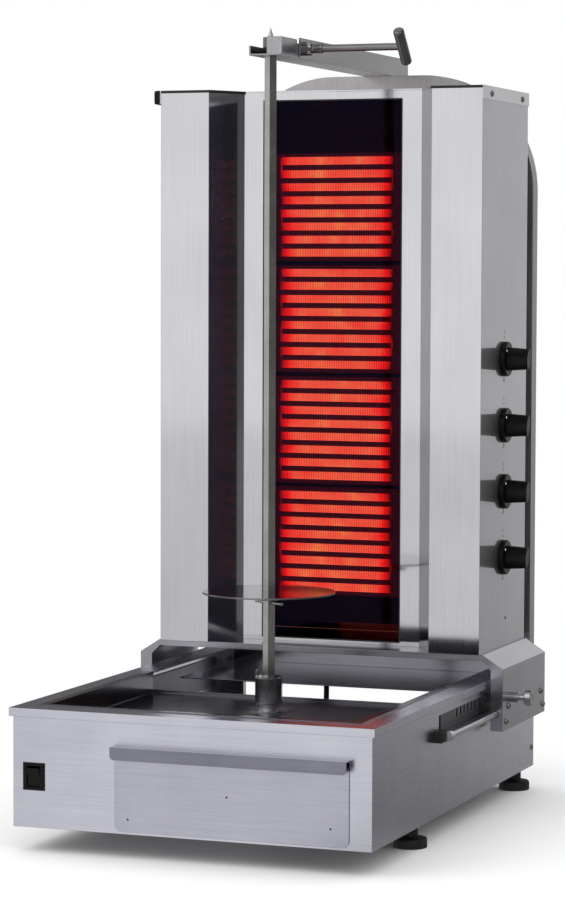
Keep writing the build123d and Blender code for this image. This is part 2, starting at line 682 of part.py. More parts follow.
def spit_drive():
    """Output shaft, wheel and socket, with the motor pinion in mesh behind them."""
    shaft_low = CASE_Z + BUSH_FLANGE
    add("output_shaft", rod_z(SHAFT_R, 0, SPIT_Y, (shaft_low, SPIT_FOOT_Z)))
    wheel = Pos(0, SPIT_Y, GEAR_Z) * gear(WHEEL_TEETH, 90 + 180 / WHEEL_TEETH)
    add("output_gear", wheel - rod_z(SHAFT_R, 0, SPIT_Y, (GEAR_Z - OVERRUN, GEAR_Z + GEAR_FACE + OVERRUN)))
    socket_top = SOCKET_Z + SOCKET_TALL
    cup = rod_z(SOCKET_R, 0, SPIT_Y, (SOCKET_Z, socket_top))
    cup = chamfer(cup.edges().filter_by(GeomType.CIRCLE), SOCKET_ROUND)
    cup += block((-SOCKET_R, -SOCKET_R + TAB_W), (SPIT_Y - TAB_DEEP / 2, SPIT_Y + TAB_DEEP / 2),
                 (socket_top - TAB_TALL, socket_top + TAB_TALL))
    cup -= rod_z(SHAFT_R, 0, SPIT_Y, (SOCKET_Z - OVERRUN, SPIT_FOOT_Z))
    add("drive_socket", cup - spit_square(SPIT_SIDE + 2 * SPIT_PLAY, (SPIT_FOOT_Z, socket_top + OVERRUN)))
    pinion = Pos(0, MOTOR_Y, GEAR_Z) * gear(PINION_TEETH, -90)
    pinion += rod_z(MOTOR_SHAFT_R, 0, MOTOR_Y, (CASE_Z, GEAR_Z))
    add("motor_pinion", pinion)


def gearbox():
    """Gear case, its cover, the shaft bushes, the motor and the bracket under them."""
    tip = GEAR_MODULE * (WHEEL_TEETH / 2 + ADDENDUM_SHARE) + CASE_CLEAR
    small = GEAR_MODULE * (PINION_TEETH / 2 + ADDENDUM_SHARE) + CASE_CLEAR
    hollow_x = (-tip, tip)
    hollow_y = (SPIT_Y - tip, MOTOR_Y + small)
    outer_x = (-tip - CASE_WALL, tip + CASE_WALL)
    outer_y = (hollow_y[0] - CASE_WALL, hollow_y[1] + CASE_WALL)
    bush_r = SHAFT_R + BUSH_WALL
    drop = (CASE_Z - OVERRUN, CASE_Z + CASE_WALL + OVERRUN)
    case = block(outer_x, outer_y, (CASE_Z, COVER_Z))
    case -= block(hollow_x, hollow_y, (CASE_Z + CASE_WALL, COVER_Z + OVERRUN))
    case -= rod_z(bush_r, 0, SPIT_Y, (CASE_Z + BUSH_FLANGE, CASE_Z + CASE_WALL + OVERRUN))
    add("gearbox_case", case - rod_z(MOTOR_SHAFT_R + HOLE_PLAY, 0, MOTOR_Y, drop))
    lid = block(outer_x, outer_y, (COVER_Z, COVER_Z + COVER_TALL))
    add("gearbox_cover", lid - rod_z(bush_r, 0, SPIT_Y, (COVER_Z - OVERRUN, COVER_Z + COVER_TALL + OVERRUN)))
    low = rod_z(bush_r, 0, SPIT_Y, (CASE_Z + BUSH_FLANGE, GEAR_Z - RUN_GAP))
    high = rod_z(bush_r, 0, SPIT_Y, (GEAR_Z + GEAR_FACE + RUN_GAP, COVER_Z + COVER_TALL))
    bore = rod_z(SHAFT_R + FIT, 0, SPIT_Y, (CASE_Z, COVER_Z + COVER_TALL + OVERRUN))
    add("shaft_bushes", low - bore, high - bore)
    motor = rod_z(MOTOR_R, 0, MOTOR_Y, (FOOT_H + MOTOR_LOW_H, CASE_Z))
    terminal_z = (FOOT_H + TERMINAL_H, FOOT_H + TERMINAL_H + TERMINAL_TALL)
    terminal_y = (MOTOR_Y, MOTOR_Y + MOTOR_R + TERMINAL_DEEP)
    motor += block((-TERMINAL_W / 2, TERMINAL_W / 2), terminal_y, terminal_z)
    add("motor_can", motor)
    for_case = outer_x[1] - BRACKET_PLATE
    foot_z = (FOOT_H + PLATE, FOOT_H + PLATE + BRACKET_PLATE)
    side = block((for_case, outer_x[1]), outer_y, (foot_z[0], CASE_Z))
    side += block((for_case, outer_x[1] + BRACKET_FOOT), outer_y, foot_z)
    side += block((for_case - BRACKET_FOOT, outer_x[1]), outer_y, (CASE_Z - BRACKET_PLATE, CASE_Z))
    side -= rod_z(MOTOR_R + RUN_GAP, 0, MOTOR_Y, (foot_z[0], CASE_Z + OVERRUN))
    add("motor_brackets", *pair(side))


def spit():
    """Square skewer with its point, the cross pin and the meat disc."""
    tip_z = FOOT_H + SPIT_TIP_H
    bar = spit_square(SPIT_SIDE, (SPIT_FOOT_Z, tip_z - SPIT_TIP_TALL))
    point = Pos(0, SPIT_Y, tip_z - SPIT_TIP_TALL / 2)
    bar += point * Cone(SPIT_SIDE / 2, 0, SPIT_TIP_TALL)
    hub_low = FOOT_H + DISC_H - HUB_TALL
    pin_z = hub_low - DISC_PIN_R - RUN_GAP
    pin_bar = SPIT * rod_y(DISC_PIN_R, 0, (-DISC_PIN_LONG / 2, DISC_PIN_LONG / 2), pin_z)
    add("skewer", bar - pin_bar)
    add("disc_pin", pin_bar)
    disc_z = FOOT_H + DISC_H
    disc = rod_z(DISC_R, 0, SPIT_Y, (disc_z, disc_z + DISC_THICK))
    disc += rod_z(HUB_R, 0, SPIT_Y, (hub_low, disc_z))
    bore = (hub_low - OVERRUN, disc_z + DISC_THICK + OVERRUN)
    add("spit_disc", disc - spit_square(SPIT_SIDE + 2 * SPIT_PLAY, bore))


def hoop_face(inset, y):
    """The hoop's outline, round at the top corners, drawn in by an inset."""
    half = MAST_HALF - inset
    top = FOOT_H + MAST_TOP_H - inset
    radius = MAST_CORNER_R - inset
    low = FOOT_H + MAST_FOOT_H
    left = (-half + radius, top - radius)
    right = (half - radius, top - radius)
    edge = [
        Line((-half, low), (-half, top - radius)),
        CenterArc(left, radius, 180, -90),
        Line((-half + radius, top), (half - radius, top)),
        CenterArc(right, radius, 90, -90),
        Line((half, top - radius), (half, low)),
        Line((half, low), (-half, low)),
    ]
    return Pos(0, y, 0) * (Plane.XZ * make_face(edge))


def mast_hoop():
    """Bent square tube hoop that carries the top arm."""
    hoop = extrude(hoop_face(0, BASE_D), amount=MAST_TUBE, dir=(0, 1, 0))
    hoop -= extrude(hoop_face(MAST_TUBE, BASE_D), amount=MAST_TUBE, dir=(0, 1, 0))
    inside = MAST_TUBE - 2 * MAST_WALL
    hollow = extrude(hoop_face(MAST_WALL, BASE_D + MAST_WALL), amount=inside, dir=(0, 1, 0))
    hollow -= extrude(hoop_face(MAST_TUBE - MAST_WALL, BASE_D + MAST_WALL), amount=inside, dir=(0, 1, 0))
    hoop -= hollow
    for height in (MAST_BOLT_LOW_H, MAST_BOLT_HIGH_H):
        for hole in pair(rod_y(BOLT_R + HOLE_PLAY, MAST_HALF - MAST_TUBE / 2,
                               (BASE_D - OVERRUN, BASE_D + MAST_WALL + OVERRUN), FOOT_H + height)):
            hoop -= hole
    through = (ARM_Z - MAST_WALL - OVERRUN, ARM_Z + OVERRUN)
    for x in arm_bolt_places():
        hoop -= rod_z(BOLT_R + HOLE_PLAY, x, BASE_D + MAST_TUBE / 2, through)
    return hoop


def arm_bolt_places():
    """The two bolts that hold the arm on the hoop, side by side."""
    across = ARM_HALF - PLATE - BOLT_HEAD_R - RUN_GAP
    return [-across, across]


def mast_bolts():
    """Bolts of the hoop legs, with heads inside the base, and of the arm."""
    bolts = []
    inner = BASE_D - SHEET
    for height in (MAST_BOLT_LOW_H, MAST_BOLT_HIGH_H):
        head = rod_y(BOLT_HEAD_R, MAST_HALF - MAST_TUBE / 2, (inner - BOLT_HEAD_TALL, inner), FOOT_H + height)
        stem = rod_y(BOLT_R, MAST_HALF - MAST_TUBE / 2, (inner, BASE_D + MAST_TUBE / 2), FOOT_H + height)
        bolts += pair(head + stem)
    seat = ARM_Z + PLATE
    for x in arm_bolt_places():
        y = BASE_D + MAST_TUBE / 2
        bolts.append(rod_z(BOLT_HEAD_R, x, y, (seat, seat + BOLT_HEAD_TALL))
                     + rod_z(BOLT_R, x, y, (ARM_Z - MAST_TUBE / 2, seat)))
    return bolts


def top_arm():
    """Channel arm: floor plate, a flange on each side, and the clamp's threaded boss."""
    top = ARM_Z + ARM_TALL
    arm = block((-ARM_HALF, ARM_HALF), (ARM_FRONT, ARM_REAR), (ARM_Z, ARM_Z + PLATE))
    for flange in pair(block((ARM_HALF - PLATE, ARM_HALF), (ARM_FLANGE_FRONT, ARM_REAR), (ARM_Z, top))):
        arm += flange
    arm += block((-ARM_HALF, -ARM_HALF + PLATE), (ARM_FRONT, ARM_FLANGE_FRONT), (ARM_Z, ARM_Z + ARM_LOW_TALL))
    arm += rod_x(CLAMP_BOSS_R, (ARM_HALF, ARM_HALF + CLAMP_BOSS_LONG), CLAMP_Y, CLAMP_Z)
    arm -= rod_x(CLAMP_SCREW_R + FIT, (ARM_HALF - PLATE - OVERRUN, ARM_HALF + CLAMP_BOSS_LONG + OVERRUN),
                 CLAMP_Y, CLAMP_Z)
    arm -= rod_z(SPIT_BORE_R, 0, SPIT_Y, (ARM_Z - OVERRUN, ARM_Z + PLATE + OVERRUN))
    through = (ARM_Z - OVERRUN, ARM_Z + PLATE + OVERRUN)
    for x in arm_bolt_places():
        arm -= rod_z(BOLT_R + HOLE_PLAY, x, BASE_D + MAST_TUBE / 2, through)
    return arm


def bearing_block():
    """Upper spit bearing: bored head with a tail bar inside the arm, under the clamp screw."""
    right = ARM_HALF - PLATE - RUN_GAP
    front = SPIT_Y - BLOCK_FRONT
    back = front + BLOCK_LONG
    low = ARM_Z + PLATE
    top = low + BLOCK_TALL
    plan = [(-BLOCK_LEFT + BLOCK_CHAMFER, front), (right, front), (right, back), (-BLOCK_LEFT, back),
            (-BLOCK_LEFT, front + BLOCK_CHAMFER)]
    head = prism_z(plan, (low, top))
    head = chamfer(head.faces().sort_by(Axis.Z)[-1].edges(), BLOCK_EDGE)
    head += block((-BLOCK_LEFT, right), (back, back + BLOCK_TAIL), (low, top - BLOCK_TAIL_DROP))
    return head - rod_z(SPIT_BORE_R, 0, SPIT_Y, (low - OVERRUN, top + OVERRUN))


def clamp():
    """Clamp screw with its rod along x, and the tilted T grip at the end."""
    seat = ARM_HALF - PLATE - RUN_GAP / 2
    face = ARM_HALF + CLAMP_BOSS_LONG + RUN_GAP
    root = face + CLAMP_ROOT_LONG
    reach = ARM_HALF + CLAMP_REACH
    screw = rod_x(CLAMP_SCREW_R, (seat, face), CLAMP_Y, CLAMP_Z)
    screw += rod_x(CLAMP_ROOT_R, (face, root), CLAMP_Y, CLAMP_Z)
    screw += rod_x(CLAMP_ROD_R, (root, reach), CLAMP_Y, CLAMP_Z)
    barrel = Cylinder(GRIP_R, GRIP_LONG)
    barrel = fillet(barrel.edges().filter_by(GeomType.CIRCLE), GRIP_R / 2)
    grip = Pos(reach, CLAMP_Y, CLAMP_Z) * Rot(GRIP_TILT_DEG, 0, 0) * barrel
    add("clamp_screw", screw)
    add("clamp_grip", grip - rod_x(CLAMP_ROD_R, (root, reach), CLAMP_Y, CLAMP_Z))


def saddle_outline(inset):
    """Half of the saddle's cross section from foot to top, drawn in by the sheet's thickness."""
    slope = math.atan2(SADDLE_TOP_H - SADDLE_SHOULDER_H, SADDLE_HALF - SADDLE_TOP_HALF)
    top_x = SADDLE_TOP_HALF - inset * math.tan(slope / 2)
    shoulder_h = SADDLE_SHOULDER_H - inset * math.tan((math.pi / 2 - slope) / 2)
    low = FOOT_H + SADDLE_LOW_H
    right = [(SADDLE_HALF - inset, low), (SADDLE_HALF - inset, FOOT_H + shoulder_h),
             (top_x, SADDLE_Z - inset)]
    return right + [(-x, z) for x, z in reversed(right)]


def saddle():
    """Folded saddle over the base: top, chamfers, sides and the rim round its open front."""
    y = (SADDLE_FRONT, SADDLE_REAR)
    shell = prism_y(saddle_outline(0), y) - prism_y(saddle_outline(PLATE), (y[0] + PLATE, y[1] + OVERRUN))
    inner = SADDLE_HALF - SADDLE_RIM
    brow = SADDLE_Z - SADDLE_BROW
    low = FOOT_H + SADDLE_LOW_H - OVERRUN
    right = [(inner, low), (inner, brow - SADDLE_RIM_CUT), (inner - SADDLE_RIM_CUT, brow)]
    opening = right + [(-px, pz) for px, pz in reversed(right)]
    shell -= prism_y(opening, (y[0] - OVERRUN, y[0] + PLATE + OVERRUN))
    for hole in pair(rod_y(ROD_R + RUN_GAP, ROD_X, (y[0] - OVERRUN, y[0] + PLATE + OVERRUN), ROD_Z)):
        shell -= hole
    sleeve = (SADDLE_HALF - PLATE - OVERRUN, SADDLE_HALF + OVERRUN)
    return shell - rod_x(SLEEVE_R, sleeve, PLUNGER_Y, INDEX_Z)


def lower_apron():
    """Folded guard inside the saddle: a floor just over the pan and a rear plate up to the saddle's top."""
    low = FOOT_H + APRON_LOW_H
    x = (-APRON_HALF, APRON_HALF)
    guard = block(x, (SADDLE_FRONT + PLATE, SADDLE_REAR), (low, low + SHEET))
    return guard + block(x, (SADDLE_REAR - SHEET, SADDLE_REAR), (low, SADDLE_Z - PLATE))


def glide_starts():
    """Front faces of the front and rear glide on each rod."""
    return [SADDLE_FRONT + PLATE + GLIDE_SET, SADDLE_REAR - GLIDE_LONG]


def rod_glides():
    """Plain bearing blocks inside the saddle's sides that run on the rods."""
    glides = []
    outer = SADDLE_HALF - PLATE
    for start in glide_starts():
        glide = block((outer - GLIDE_IN, outer), (start, start + GLIDE_LONG),
                      (FOOT_H + GLIDE_LOW_H, FOOT_H + GLIDE_LOW_H + GLIDE_TALL))
        bore_y = (start - OVERRUN, start + GLIDE_LONG + OVERRUN)
        glides += pair(glide - rod_y(ROD_R + FIT, ROD_X, bore_y, ROD_Z))
    return glides


def tower_screws():
    """Round heads: the glide bolts on the saddle's sides and the lid screws."""
    heads = []
    side = (SADDLE_HALF, SADDLE_HALF + SADDLE_BOLT_PROUD)
    for start, lean in zip(glide_starts(), (1, -1)):
        middle = start + GLIDE_LONG / 2
        upper = middle + lean * SADDLE_BOLT_LEAN
        lower = middle - lean * SADDLE_BOLT_LEAN
        heads += pair(rod_x(SADDLE_BOLT_R, side, upper, FOOT_H + SADDLE_BOLT_HIGH_H))
        heads += pair(rod_x(SADDLE_BOLT_R, side, lower, FOOT_H + SADDLE_BOLT_LOW_H))
    lid = (TOWER_HALF + SHEET, TOWER_HALF + SHEET + SCREW_PROUD)
    for y in (LID_SCREW_FRONT, LID_SCREW_REAR):
        heads += pair(rod_x(SCREW_R, lid, y, TOWER_Z - LID_SCREW_DROP))
    return heads


def plunger():
    """Index plunger, parked, and the sleeve that guides it through the saddle's right side."""
    inner = SADDLE_HALF - PLATE - SLEEVE_NUT
    sleeve_x = (inner, SADDLE_HALF + SLEEVE_OUT)
    sleeve = rod_x(SLEEVE_R, sleeve_x, PLUNGER_Y, INDEX_Z)
    add("plunger_sleeve", sleeve - rod_x(PLUNGER_R + FIT, sleeve_x, PLUNGER_Y, INDEX_Z))
    tip = HALF_W + PLUNGER_PARK_GAP
    head = sleeve_x[1] + PLUNGER_TRAVEL + RUN_GAP
    pin = rod_x(PLUNGER_TIP_R, (tip, tip + PLUNGER_TIP_LONG), PLUNGER_Y, INDEX_Z)
    pin += rod_x(PLUNGER_R, (tip + PLUNGER_TIP_LONG, head), PLUNGER_Y, INDEX_Z)
    add("index_plunger", pin + rod_x(PLUNGER_HEAD_R, (head, head + PLUNGER_HEAD_LONG), PLUNGER_Y, INDEX_Z))


def side_panel(with_knobs):
    """Right tower panel: side, wing front, splayed inner face and its return."""
    z = (SADDLE_Z, TOWER_Z - PLATE)
    panel = block((TOWER_HALF - SHEET, TOWER_HALF), (WING_FRONT, TOWER_REAR - SHEET), z)
    panel += block((WING_INNER_HALF, TOWER_HALF), (WING_FRONT, WING_FRONT + SHEET), z)
    run = math.hypot(RECESS_HALF - WING_INNER_HALF, GLASS_Y - WING_FRONT)
    off_x = SHEET * (GLASS_Y - WING_FRONT) / run
    off_y = SHEET * (WING_INNER_HALF - RECESS_HALF) / run
    panel += prism_z([(WING_INNER_HALF, WING_FRONT), (RECESS_HALF, GLASS_Y),
                      (RECESS_HALF + off_x, GLASS_Y + off_y),
                      (WING_INNER_HALF + off_x, WING_FRONT + off_y)], z)
    panel += block((RECESS_HALF, RECESS_HALF + SHEET), (GLASS_Y, GLASS_Y + RETURN_DEEP), z)
    if with_knobs:
        through = (TOWER_HALF - SHEET - OVERRUN, TOWER_HALF + OVERRUN)
        for height in knob_heights():
            panel -= rod_x(KNOB_SHAFT_R + RUN_GAP, through, KNOB_Y, height)
        panel -= rod_x(SIDE_HOLE_R, through, SIDE_HOLE_Y, FOOT_H + SIDE_HOLE_H)
    return panel


def glass_front():
    """Frame of the opening, the ceramic glass behind it and the carrier that presses on the glass."""
    top = TOWER_Z - PLATE
    frame_y = (GLASS_Y, GLASS_Y + SHEET)
    frame = block((-RECESS_HALF, RECESS_HALF), frame_y, (SADDLE_Z, top))
    frame -= block((-OPEN_HALF, OPEN_HALF), (frame_y[0] - OVERRUN, frame_y[1] + OVERRUN),
                   (SADDLE_Z + OPEN_SILL, FOOT_H + OPEN_TOP_H))
    add("glass_frame", frame)
    glass_half = OPEN_HALF + GLASS_LAP
    glass_y = (frame_y[1], frame_y[1] + GLASS_THICK)
    add("ceramic_glass", block((-glass_half, glass_half), glass_y, (SADDLE_Z, top - SHEET)))
    back = GLASS_Y + RETURN_DEEP
    z = (FOOT_H + CARRIER_LOW_H, FOOT_H + CARRIER_HIGH_H)
    carrier = block((-RECESS_HALF, RECESS_HALF), (back - SHEET, back), z)
    for side in pair(block((CARRIER_SIDE, CARRIER_SIDE + SHEET), (glass_y[1], back), z)):
        carrier += side
    add("heater_carrier", carrier)


def heaters():
    """Four zones: an insulation pad each, with a ribbon laid to and fro on it."""
    pad_back = GLASS_Y + RETURN_DEEP - SHEET
    ribbon_back = pad_back - INSULATION_DEEP
    bar_y = (ribbon_back - BAR_THICK, ribbon_back)
    pads = []
    ribbons = []
    for zone in range(ZONE_COUNT):
        top = FOOT_H + ZONE_TOP_H - ZONE_PITCH * zone
        low = top - BAR_PITCH * (BAR_COUNT - 1) - BAR_TALL
        pads.append(block((-TRAY_HALF, TRAY_HALF), (ribbon_back, pad_back),
                          (low - INSULATION_MARGIN, top + INSULATION_MARGIN)))
        ribbon = None
        for count in range(BAR_COUNT):
            bar_top = top - BAR_PITCH * count
            bar = block((-BAR_HALF, BAR_HALF), bar_y, (bar_top - BAR_TALL, bar_top))
            ribbon = bar if ribbon is None else ribbon + bar
            if count + 1 < BAR_COUNT:
                side = 1 if count % 2 == 0 else -1
                link_x = sorted((side * BAR_HALF, side * (BAR_HALF - BAR_LINK)))
                ribbon += block(link_x, bar_y, (bar_top - BAR_PITCH, bar_top - BAR_TALL))
        ribbons.append(ribbon)
    add("heater_insulation", *pads)
    add("heater_ribbons", *ribbons)


def tower_lid():
    """Lid cut like the tower's plan, with a flange down each side."""
    half = TOWER_HALF + SHEET
    right = [(RECESS_HALF, GLASS_Y), (WING_INNER_HALF, WING_FRONT), (half, WING_FRONT), (half, TOWER_REAR)]
    plan = right + [(-x, y) for x, y in reversed(right)]
    lid = prism_z(plan, (TOWER_Z - PLATE, TOWER_Z))
    flange_z = (TOWER_Z - LID_FLANGE, TOWER_Z - PLATE)
    for flange in pair(block((TOWER_HALF, half), (WING_FRONT, TOWER_REAR), flange_z)):
        lid += flange
    return lid


def corner_cap():
    """Black cap at the lid's front left corner."""
    side = -TOWER_HALF - SHEET
    cap = block((side - CAP_OUT, side), (WING_FRONT, WING_FRONT + CAP_DEEP), (TOWER_Z - CAP_TALL, TOWER_Z))
    return fillet(cap.edges().filter_by(Axis.Y).sort_by(Axis.X)[:2], CAP_ROUND)


def knob_heights():
    """Knob axes from the lowest up."""
    return [FOOT_H + KNOB_LOW_H + KNOB_PITCH * count for count in range(KNOB_COUNT)]


def knob(height):
    """Control knob: skirt, oval grip leaning back at its top, and shaft."""
    face = TOWER_HALF + KNOB_GAP
    root = face + KNOB_SKIRT
    skirt = rod_x(KNOB_R, (face, root), KNOB_Y, height)
    skirt = fillet(skirt.edges().filter_by(GeomType.CIRCLE).sort_by(Axis.X)[-1], KNOB_ROUND)
    sections = []
    for x, share in ((root, 1), (root + KNOB_GRIP_DEEP, KNOB_GRIP_END_SHARE)):
        seat = Plane(origin=(x, KNOB_Y, height), x_dir=(0, 1, 0), z_dir=(1, 0, 0))
        oval = Rot(0, 0, -KNOB_GRIP_TILT_DEG) * Ellipse(share * KNOB_GRIP_W / 2, share * KNOB_GRIP_LONG / 2)
        sections.append(seat * oval)
    grip = loft(sections)
    grip = fillet(grip.faces().sort_by(Axis.X)[-1].edges(), KNOB_ROUND)
    shaft = rod_x(KNOB_SHAFT_R, (face - KNOB_SHAFT_LONG, face), KNOB_Y, height)
    return skirt + grip + shaft


def regulators():
    """Energy regulators on the inner face of the right panel, bored for the knob shafts."""
    inner = TOWER_HALF - SHEET
    boxes = []
    for height in knob_heights():
        case = block((inner - REGULATOR_DEEP, inner), (KNOB_Y - REGULATOR_W / 2, KNOB_Y + REGULATOR_W / 2),
                     (height - REGULATOR_TALL / 2, height + REGULATOR_TALL / 2))
        bore_depth = TOWER_HALF + KNOB_GAP - KNOB_SHAFT_LONG - RUN_GAP
        boxes.append(case - rod_x(KNOB_SHAFT_R + FIT, (bore_depth, inner + OVERRUN), KNOB_Y, height))
    return boxes


def cable_gland():
    """Gland for the mains cord in the low rear wall."""
    z = FOOT_H + GLAND_H
    gland = rod_y(GLAND_R, GLAND_X, (BASE_D - SHEET - GLAND_IN, BASE_D + GLAND_OUT), z)
    gland += rod_y(GLAND_FLANGE_R, GLAND_X, (BASE_D, BASE_D + GLAND_FLANGE_TALL), z)
    bore_y = (BASE_D - SHEET - GLAND_IN - OVERRUN, BASE_D + GLAND_OUT + OVERRUN)
    return gland - rod_y(GLAND_BORE_R, GLAND_X, bore_y, z)


def base_screws():
    """Screw heads low on the base sides near the rear."""
    heads = []
    for height in (BASE_SCREW_LOW_H, BASE_SCREW_HIGH_H):
        heads += pair(rod_x(SCREW_R, (HALF_W, HALF_W + SCREW_PROUD), BASE_SCREW_Y, FOOT_H + height))
    return heads


def motor_lead():
    """Round lead from the guard's underside down to the motor terminal, with wide bends."""
    start = (LEAD_Y, APRON_LOW_H)
    end = (MOTOR_Y + MOTOR_R + TERMINAL_DEEP, LEAD_END_H)
    reach, fall = start[0] - end[0], start[1] - end[1]
    turns = [(end[0] + along * reach, end[1] + up * fall) for along, up in LEAD_TURN_SHARES]
    points = [Vector(LEAD_X, y, FOOT_H + height) for y, height in [start, *turns, end]]
    radii = []
    for before, here, after in zip(points, points[1:], points[2:]):
        half_turn = math.radians((here - before).get_angle(after - here)) / 2
        shorter = min((here - before).length, (after - here).length)
        radii.append(LEAD_RADIUS_SHARE * shorter / math.tan(half_turn))
    print("lead radii", [round(radius, 1) for radius in radii])
    path = FilletPolyline(*points, radius=radii)
    section = Plane(origin=points[0], z_dir=points[1] - points[0]) * Circle(LEAD_R)
    lead = sweep(section, path=path)
    plain = math.pi * LEAD_R ** 2 * path.length
    print("lead volume over section times length", round(lead.volume / plain, 4))
    return lead


def build():
    """Make every node in the machine frame."""
    add("base_housing", base_housing())
    add("base_floor", base_floor())
    for name, place in zip(("front_left", "front_right", "rear_left", "rear_right"), foot_places()):
        add("foot_" + name, foot(*place))
    add("grease_pan", grease_pan())
    add("pan_seal", pan_seal())
    drawer()
    add("drawer_runners", *drawer_runners())
    power_switch()
    add("index_rails", index_rail(SLOT_COUNT), pair(index_rail(0))[1])
    add("guide_rods", *pair(guide_rod()))
    mounts = [pair(piece) for piece in rod_mounts()]
    add("rod_blocks", *mounts[0], *mounts[1])
    add("rod_collars", *mounts[2])
    spit_drive()
    gearbox()
    spit()
    add("mast_hoop", mast_hoop())
    add("mast_bolts", *mast_bolts())
    add("top_arm", top_arm())
    add("bearing_block", bearing_block())
    clamp()
    add("saddle", saddle())
    add("lower_apron", lower_apron())
    add("rod_glides", *rod_glides())
    add("tower_screws", *tower_screws())
    plunger()
    add("right_panel", side_panel(True))
    add("left_panel", mirror(side_panel(False), about=Plane.YZ))
    glass_front()
    heaters()
    back_y = (TOWER_REAR - SHEET, TOWER_REAR)
    add("tower_back", block((-TOWER_HALF, TOWER_HALF), back_y, (SADDLE_Z, TOWER_Z - PLATE)))
    add("tower_lid", tower_lid())
    add("corner_cap", corner_cap())
    for count, height in enumerate(knob_heights(), start=1):
        add("knob_%d" % count, knob(height))
    add("regulators", *regulators())
    add("cable_gland", cable_gland())
    add("base_screws", *base_screws())
    add("motor_lead", motor_lead())


def row_shift():
    """Move that brings the middle of the footprint of the whole grill to the origin."""
    boxes = [solid.bounding_box() for solids in PARTS.values() for solid in solids]
    middle_x = (min(box.min.X for box in boxes) + max(box.max.X for box in boxes)) / 2
    middle_y = (min(box.min.Y for box in boxes) + max(box.max.Y for box in boxes)) / 2
    return Pos(-middle_x, -middle_y, 0)


build()
SHIFT = row_shift()
print("tower travel", TOWER_TRAVEL, "spit lift", SPIT_LIFT)
os.makedirs("parts", exist_ok=True)
for node, solids in PARTS.items():
    moved = [SHIFT * solid for solid in solids]
    shape = moved[0] if len(moved) == 1 else Compound(children=moved)
    export_step(shape, "parts/" + node + ".step")
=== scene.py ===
"""Looks of an electric doner kebab grill: finishes, fine pieces, light and camera round its solids."""

import logging
import math
from dataclasses import dataclass, field
from enum import Enum
from typing import Callable, Iterable, Sequence

import bmesh
import bpy
from mathutils import Matrix, Vector


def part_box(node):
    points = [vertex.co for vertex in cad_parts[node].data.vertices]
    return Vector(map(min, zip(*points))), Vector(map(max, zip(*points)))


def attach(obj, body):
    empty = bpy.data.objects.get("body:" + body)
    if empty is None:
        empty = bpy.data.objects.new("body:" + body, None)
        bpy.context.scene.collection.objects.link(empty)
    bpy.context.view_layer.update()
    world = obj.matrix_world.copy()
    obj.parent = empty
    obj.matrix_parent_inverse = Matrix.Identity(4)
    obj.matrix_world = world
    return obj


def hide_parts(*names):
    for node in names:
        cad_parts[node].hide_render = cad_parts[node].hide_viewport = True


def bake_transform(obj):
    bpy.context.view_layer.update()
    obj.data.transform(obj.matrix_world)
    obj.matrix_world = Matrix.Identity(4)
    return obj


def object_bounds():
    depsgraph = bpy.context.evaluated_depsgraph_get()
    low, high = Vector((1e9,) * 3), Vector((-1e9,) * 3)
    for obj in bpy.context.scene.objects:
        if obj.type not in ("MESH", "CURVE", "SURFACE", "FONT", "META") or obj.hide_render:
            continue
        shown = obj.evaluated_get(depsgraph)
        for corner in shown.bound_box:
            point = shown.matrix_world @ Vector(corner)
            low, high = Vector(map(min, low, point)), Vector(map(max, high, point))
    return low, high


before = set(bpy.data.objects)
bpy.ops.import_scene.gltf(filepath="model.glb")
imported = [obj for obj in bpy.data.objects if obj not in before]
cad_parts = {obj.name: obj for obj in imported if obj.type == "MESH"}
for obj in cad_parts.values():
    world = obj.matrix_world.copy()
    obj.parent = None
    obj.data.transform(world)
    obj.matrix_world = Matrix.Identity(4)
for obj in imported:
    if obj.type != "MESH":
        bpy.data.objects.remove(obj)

LOG = logging.getLogger("doner_grill")
CAD_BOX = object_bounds()
MM = 0.001
FULL_TURN = 2 * math.pi
IMAGE_TALL_PX = 900
X_AXIS, Y_AXIS, Z_AXIS = Vector((1, 0, 0)), Vector((0, 1, 0)), Vector((0, 0, 1))
WHITE = (1.0, 1.0, 1.0, 1.0)
# Points of a turned shape that are closer than the first are merged; the second tells one ring from the next.
MERGE = 0.005 * MM
NEAR = 0.01 * MM
# Nearly all of a noise pattern lies between these values.
NOISE_SPAN = (0.3, 0.7)
# Brushing is drawn out along its run, where its scale is only this share of the fine one.
ALONG_SHARE = 0.012


class Grain(Enum):
    """Which way the brushing runs, as a share of the fine scale on each axis."""

    UPRIGHT = (1.0, 1.0, ALONG_SHARE)
    LEVEL = (ALONG_SHARE, ALONG_SHARE, 1.0)
    LENGTHWISE = (1.0, ALONG_SHARE, 1.0)
    CROSSWISE = (ALONG_SHARE, 1.0, 1.0)


class Slot(Enum):
    """Material slots of the record."""

    STAINLESS = "stainless"
    POLISHED = "polished"
    BLACK_PLASTIC = "black_plastic"
    BLACK_RUBBER = "black_rubber"
    ZINC = "zinc"
    RIBBON = "ribbon"


def linear(code: str) -> tuple[float, float, float, float]:
    """Turn an sRGB hex colour into linear RGBA.

    Args:
        code: six hex digits after a hash.

    Returns:
        Linear red, green, blue and an alpha of one.
    """
    parts = [int(code[start:start + 2], 16) / 255 for start in (1, 3, 5)]
    red, green, blue = [c / 12.92 if c <= 0.04045 else ((c + 0.055) / 1.055) ** 2.4 for c in parts]
    return red, green, blue, 1.0


